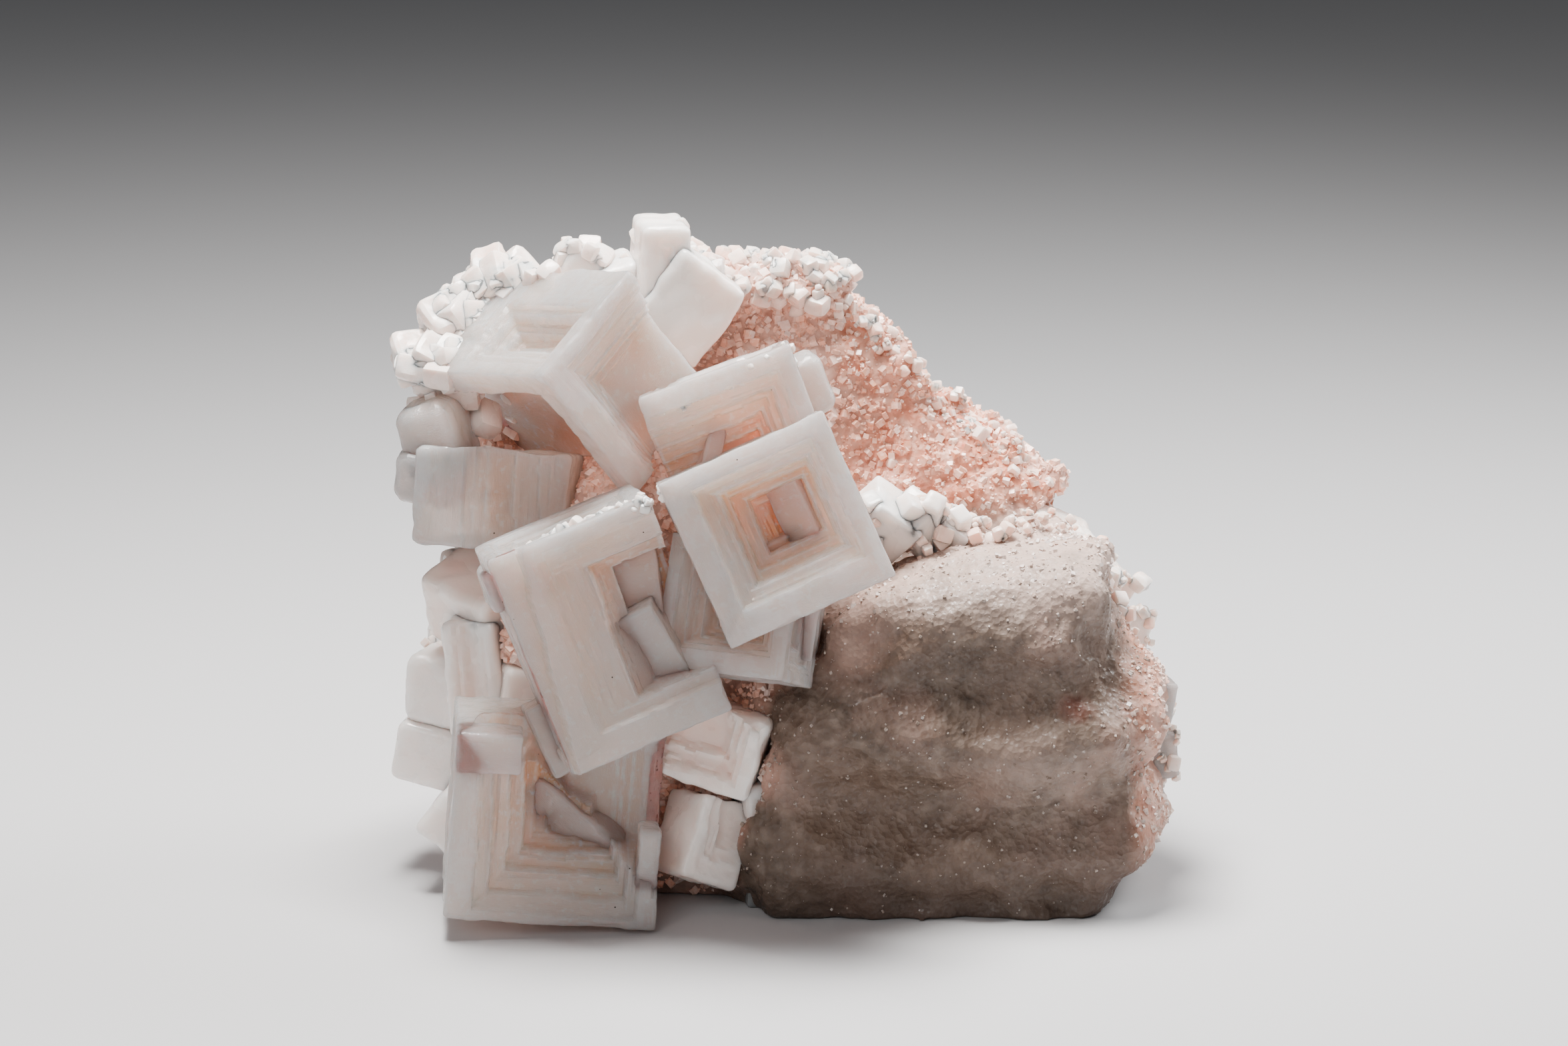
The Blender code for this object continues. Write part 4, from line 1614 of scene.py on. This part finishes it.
@dataclass
class Grains:
    """Loose grains of salt all over the lump, as joined small boxes.

    Attributes:
        count: How many grains.
        small: The smallest grain's edge, in millimetres.
        large: The largest grain's edge.
        pieces: How many pieces they are joined in.
        seed: The seed of their random numbers.
        foot: The lump's lowest part, which they leave bare, in millimetres.
        clear: How far round a hopper they leave bare, against its longest edge.
    """

    count: int = 32000
    small: float = 0.2
    large: float = 0.95
    pieces: int = 2
    seed: int = 77
    foot: float = 0.6
    clear: float = 0.75

    def build(self, lump: bpy.types.Object, hoppers: Cluster, finish: bpy.types.Material) -> None:
        """Scatters the grains.

        Args:
            lump: The finished lump.
            hoppers: The hoppers on the lump that the grains leave clear.
            finish: The grains' material.
        """
        rng = np.random.default_rng(self.seed)
        spots, zone = self.scatter(lump.data, hoppers, rng)
        pink, white_and_lit = zone["pink"], zone["white_and_lit"]
        coarse = 0.3 + 0.6 * pink + 0.4 * white_and_lit
        edges = (self.small + (self.large - self.small) * rng.random(self.count) ** 3.0) * coarse * MM
        tint = np.clip(0.25 + 0.6 * pink + rng.normal(0.0, 0.2, self.count), 0, 1) * (1 - 0.4 * white_and_lit)
        sand = 1.6 * (1 - pink) * (1 - white_and_lit) ** 1.5 * rng.uniform(0.75, 1.3, self.count)
        sand = np.clip(sand, 0, 1)
        for number, part in enumerate(np.array_split(np.arange(self.count), self.pieces)):
            mesh = boxes(spots[part], edges[part], rng)
            add_values(mesh, {"recess": np.repeat(tint[part], 8), "sand": np.repeat(sand[part], 8)})
            show(f"salt_grains_{number + 1}", mesh, finish, ())

    def scatter(
        self, mesh: bpy.types.Mesh, hoppers: Cluster, rng: np.random.Generator
    ) -> tuple[np.ndarray, dict[str, np.ndarray]]:
        """Picks spots on the lump, most of them where it is pink or white.

        Args:
            mesh: The lump's mesh.
            hoppers: The hoppers to leave clear.
            rng: The random numbers.

        Returns:
            The spots, in metres, and the lump's colour zones at each.
        """
        mesh.calc_loop_triangles()
        corners = np.zeros(len(mesh.loop_triangles) * 3, np.int32)
        mesh.loop_triangles.foreach_get("vertices", corners)
        corners = corners.reshape(-1, 3)
        places = read_vectors(mesh.vertices, "co").astype(float)
        a, b, c = (places[corners[:, side]] for side in range(3))
        area = np.linalg.norm(np.cross(b - a, c - a), axis=1)
        zone = {name: read_values(mesh, name)[corners[:, 0]] for name in ZONES}
        chance = area * (0.3 + 1.1 * zone["pink"] + 0.8 * zone["white_and_lit"]) * (1 - zone["shade_and_dirt"])
        chance = chance * (a[:, 2] > self.foot * MM)
        for cube in hoppers.cubes:
            away = np.linalg.norm(a - np.array(Vector(cube.centre) - MIDDLE) * MM, axis=1)
            chance = chance * (away > self.clear * max(cube.size) * MM)
        picked = rng.choice(len(area), self.count, p=chance / chance.sum())
        u, v = rng.random((2, self.count, 1))
        fold = u + v > 1
        u, v = np.where(fold, 1 - u, u), np.where(fold, 1 - v, v)
        spots = a[picked] + u * (b - a)[picked] + v * (c - a)[picked]
        return spots, {name: share[picked] for name, share in zone.items()}


def boxes(spots: np.ndarray, edges: np.ndarray, rng: np.random.Generator) -> bpy.types.Mesh:
    """Many small boxes in one mesh, each turned its own way.

    Args:
        spots: Their middles.
        edges: Their edge lengths.
        rng: The random numbers.

    Returns:
        The mesh.
    """
    pattern = bmesh.new()
    bmesh.ops.create_cube(pattern, size=1.0)
    corners = np.array([vertex.co for vertex in pattern.verts])
    sides = np.array([[vertex.index for vertex in face.verts] for face in pattern.faces])
    pattern.free()
    count = len(spots)
    spin = rng.normal(size=(count, 4))
    w, x, y, z = (spin / np.linalg.norm(spin, axis=1, keepdims=True)).T
    turn = np.array(
        [
            [1 - 2 * (y * y + z * z), 2 * (x * y - z * w), 2 * (x * z + y * w)],
            [2 * (x * y + z * w), 1 - 2 * (x * x + z * z), 2 * (y * z - x * w)],
            [2 * (x * z - y * w), 2 * (y * z + x * w), 1 - 2 * (x * x + y * y)],
        ]
    )
    sizes = edges[:, None] * rng.uniform(0.6, 1.2, (count, 3))
    places = np.einsum("ijn,nkj->nki", turn, corners[None] * sizes[:, None]) + spots[:, None]
    faces = (sides[None] + 8 * np.arange(count)[:, None, None]).reshape(-1, 4)
    mesh = bpy.data.meshes.new("boxes")
    mesh.from_pydata(keep_inside(places.reshape(-1, 3)), [], faces)
    return mesh


def read_vectors(items: bpy.types.bpy_prop_collection, key: str) -> np.ndarray:
    """Reads a vector of each item of a mesh.

    Args:
        items: The mesh's points or their normals.
        key: The name of the vector.

    Returns:
        The vectors, one a row.
    """
    numbers = np.zeros(len(items) * 3, np.float32)
    items.foreach_get(key, numbers)
    return numbers.reshape(-1, 3)


def read_values(mesh: bpy.types.Mesh, name: str) -> np.ndarray:
    """Reads a value kept on a mesh's points.

    Args:
        mesh: The mesh.
        name: The value's name.

    Returns:
        The value at each point.
    """
    numbers = np.zeros(len(mesh.vertices), np.float32)
    mesh.attributes[name].data.foreach_get("value", numbers)
    return numbers.astype(float)


def packed_surface() -> BVHTree:
    """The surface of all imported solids.

    Returns:
        The surface, in metres.
    """
    corners, faces = [], []
    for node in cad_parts.values():
        start = len(corners)
        corners += [vertex.co for vertex in node.data.vertices]
        faces += [[start + index for index in face.vertices] for face in node.data.polygons]
    return BVHTree.FromPolygons(corners, faces)


def main() -> None:
    """Builds the specimen and the studio."""
    logging.basicConfig(level=logging.INFO, format="%(message)s")
    halite, crust = HaliteFinish().make(), SandyFinish().make()
    milky = MilkyFinish("milky_druse_salt", 1.0, 0.0005, 500.0).make()
    clouded = MilkyFinish("clouded_pink_salt", 1.0, 0.002, 260.0).make()
    grains = MilkyFinish("frosted_salt_grains", 0.0, 0.0002, 1900.0).make()
    for crystals, finish in ((HOPPERS, halite), (SOFT_CRYSTALS, clouded)):
        for grow in crystals:
            cluster = grow()
            cluster.build(cluster.node + "_finished", finish)
    grown = lump_crystals()
    grown.build("lump_hoppers", halite)
    ground, rng = packed_surface(), np.random.default_rng(DRUSE_SEED)
    for name, strips in DRUSES.items():
        cubes = [cube for strip in strips for cube in strip.cubes(ground, rng)]
        Cluster.of("", *cubes).build(name, milky)
    lump = SaltLump().build(crust)
    Grains().build(lump, grown, grains)
    Studio().build()
    bpy.context.view_layer.update()


if __name__ == "__main__":
    main()
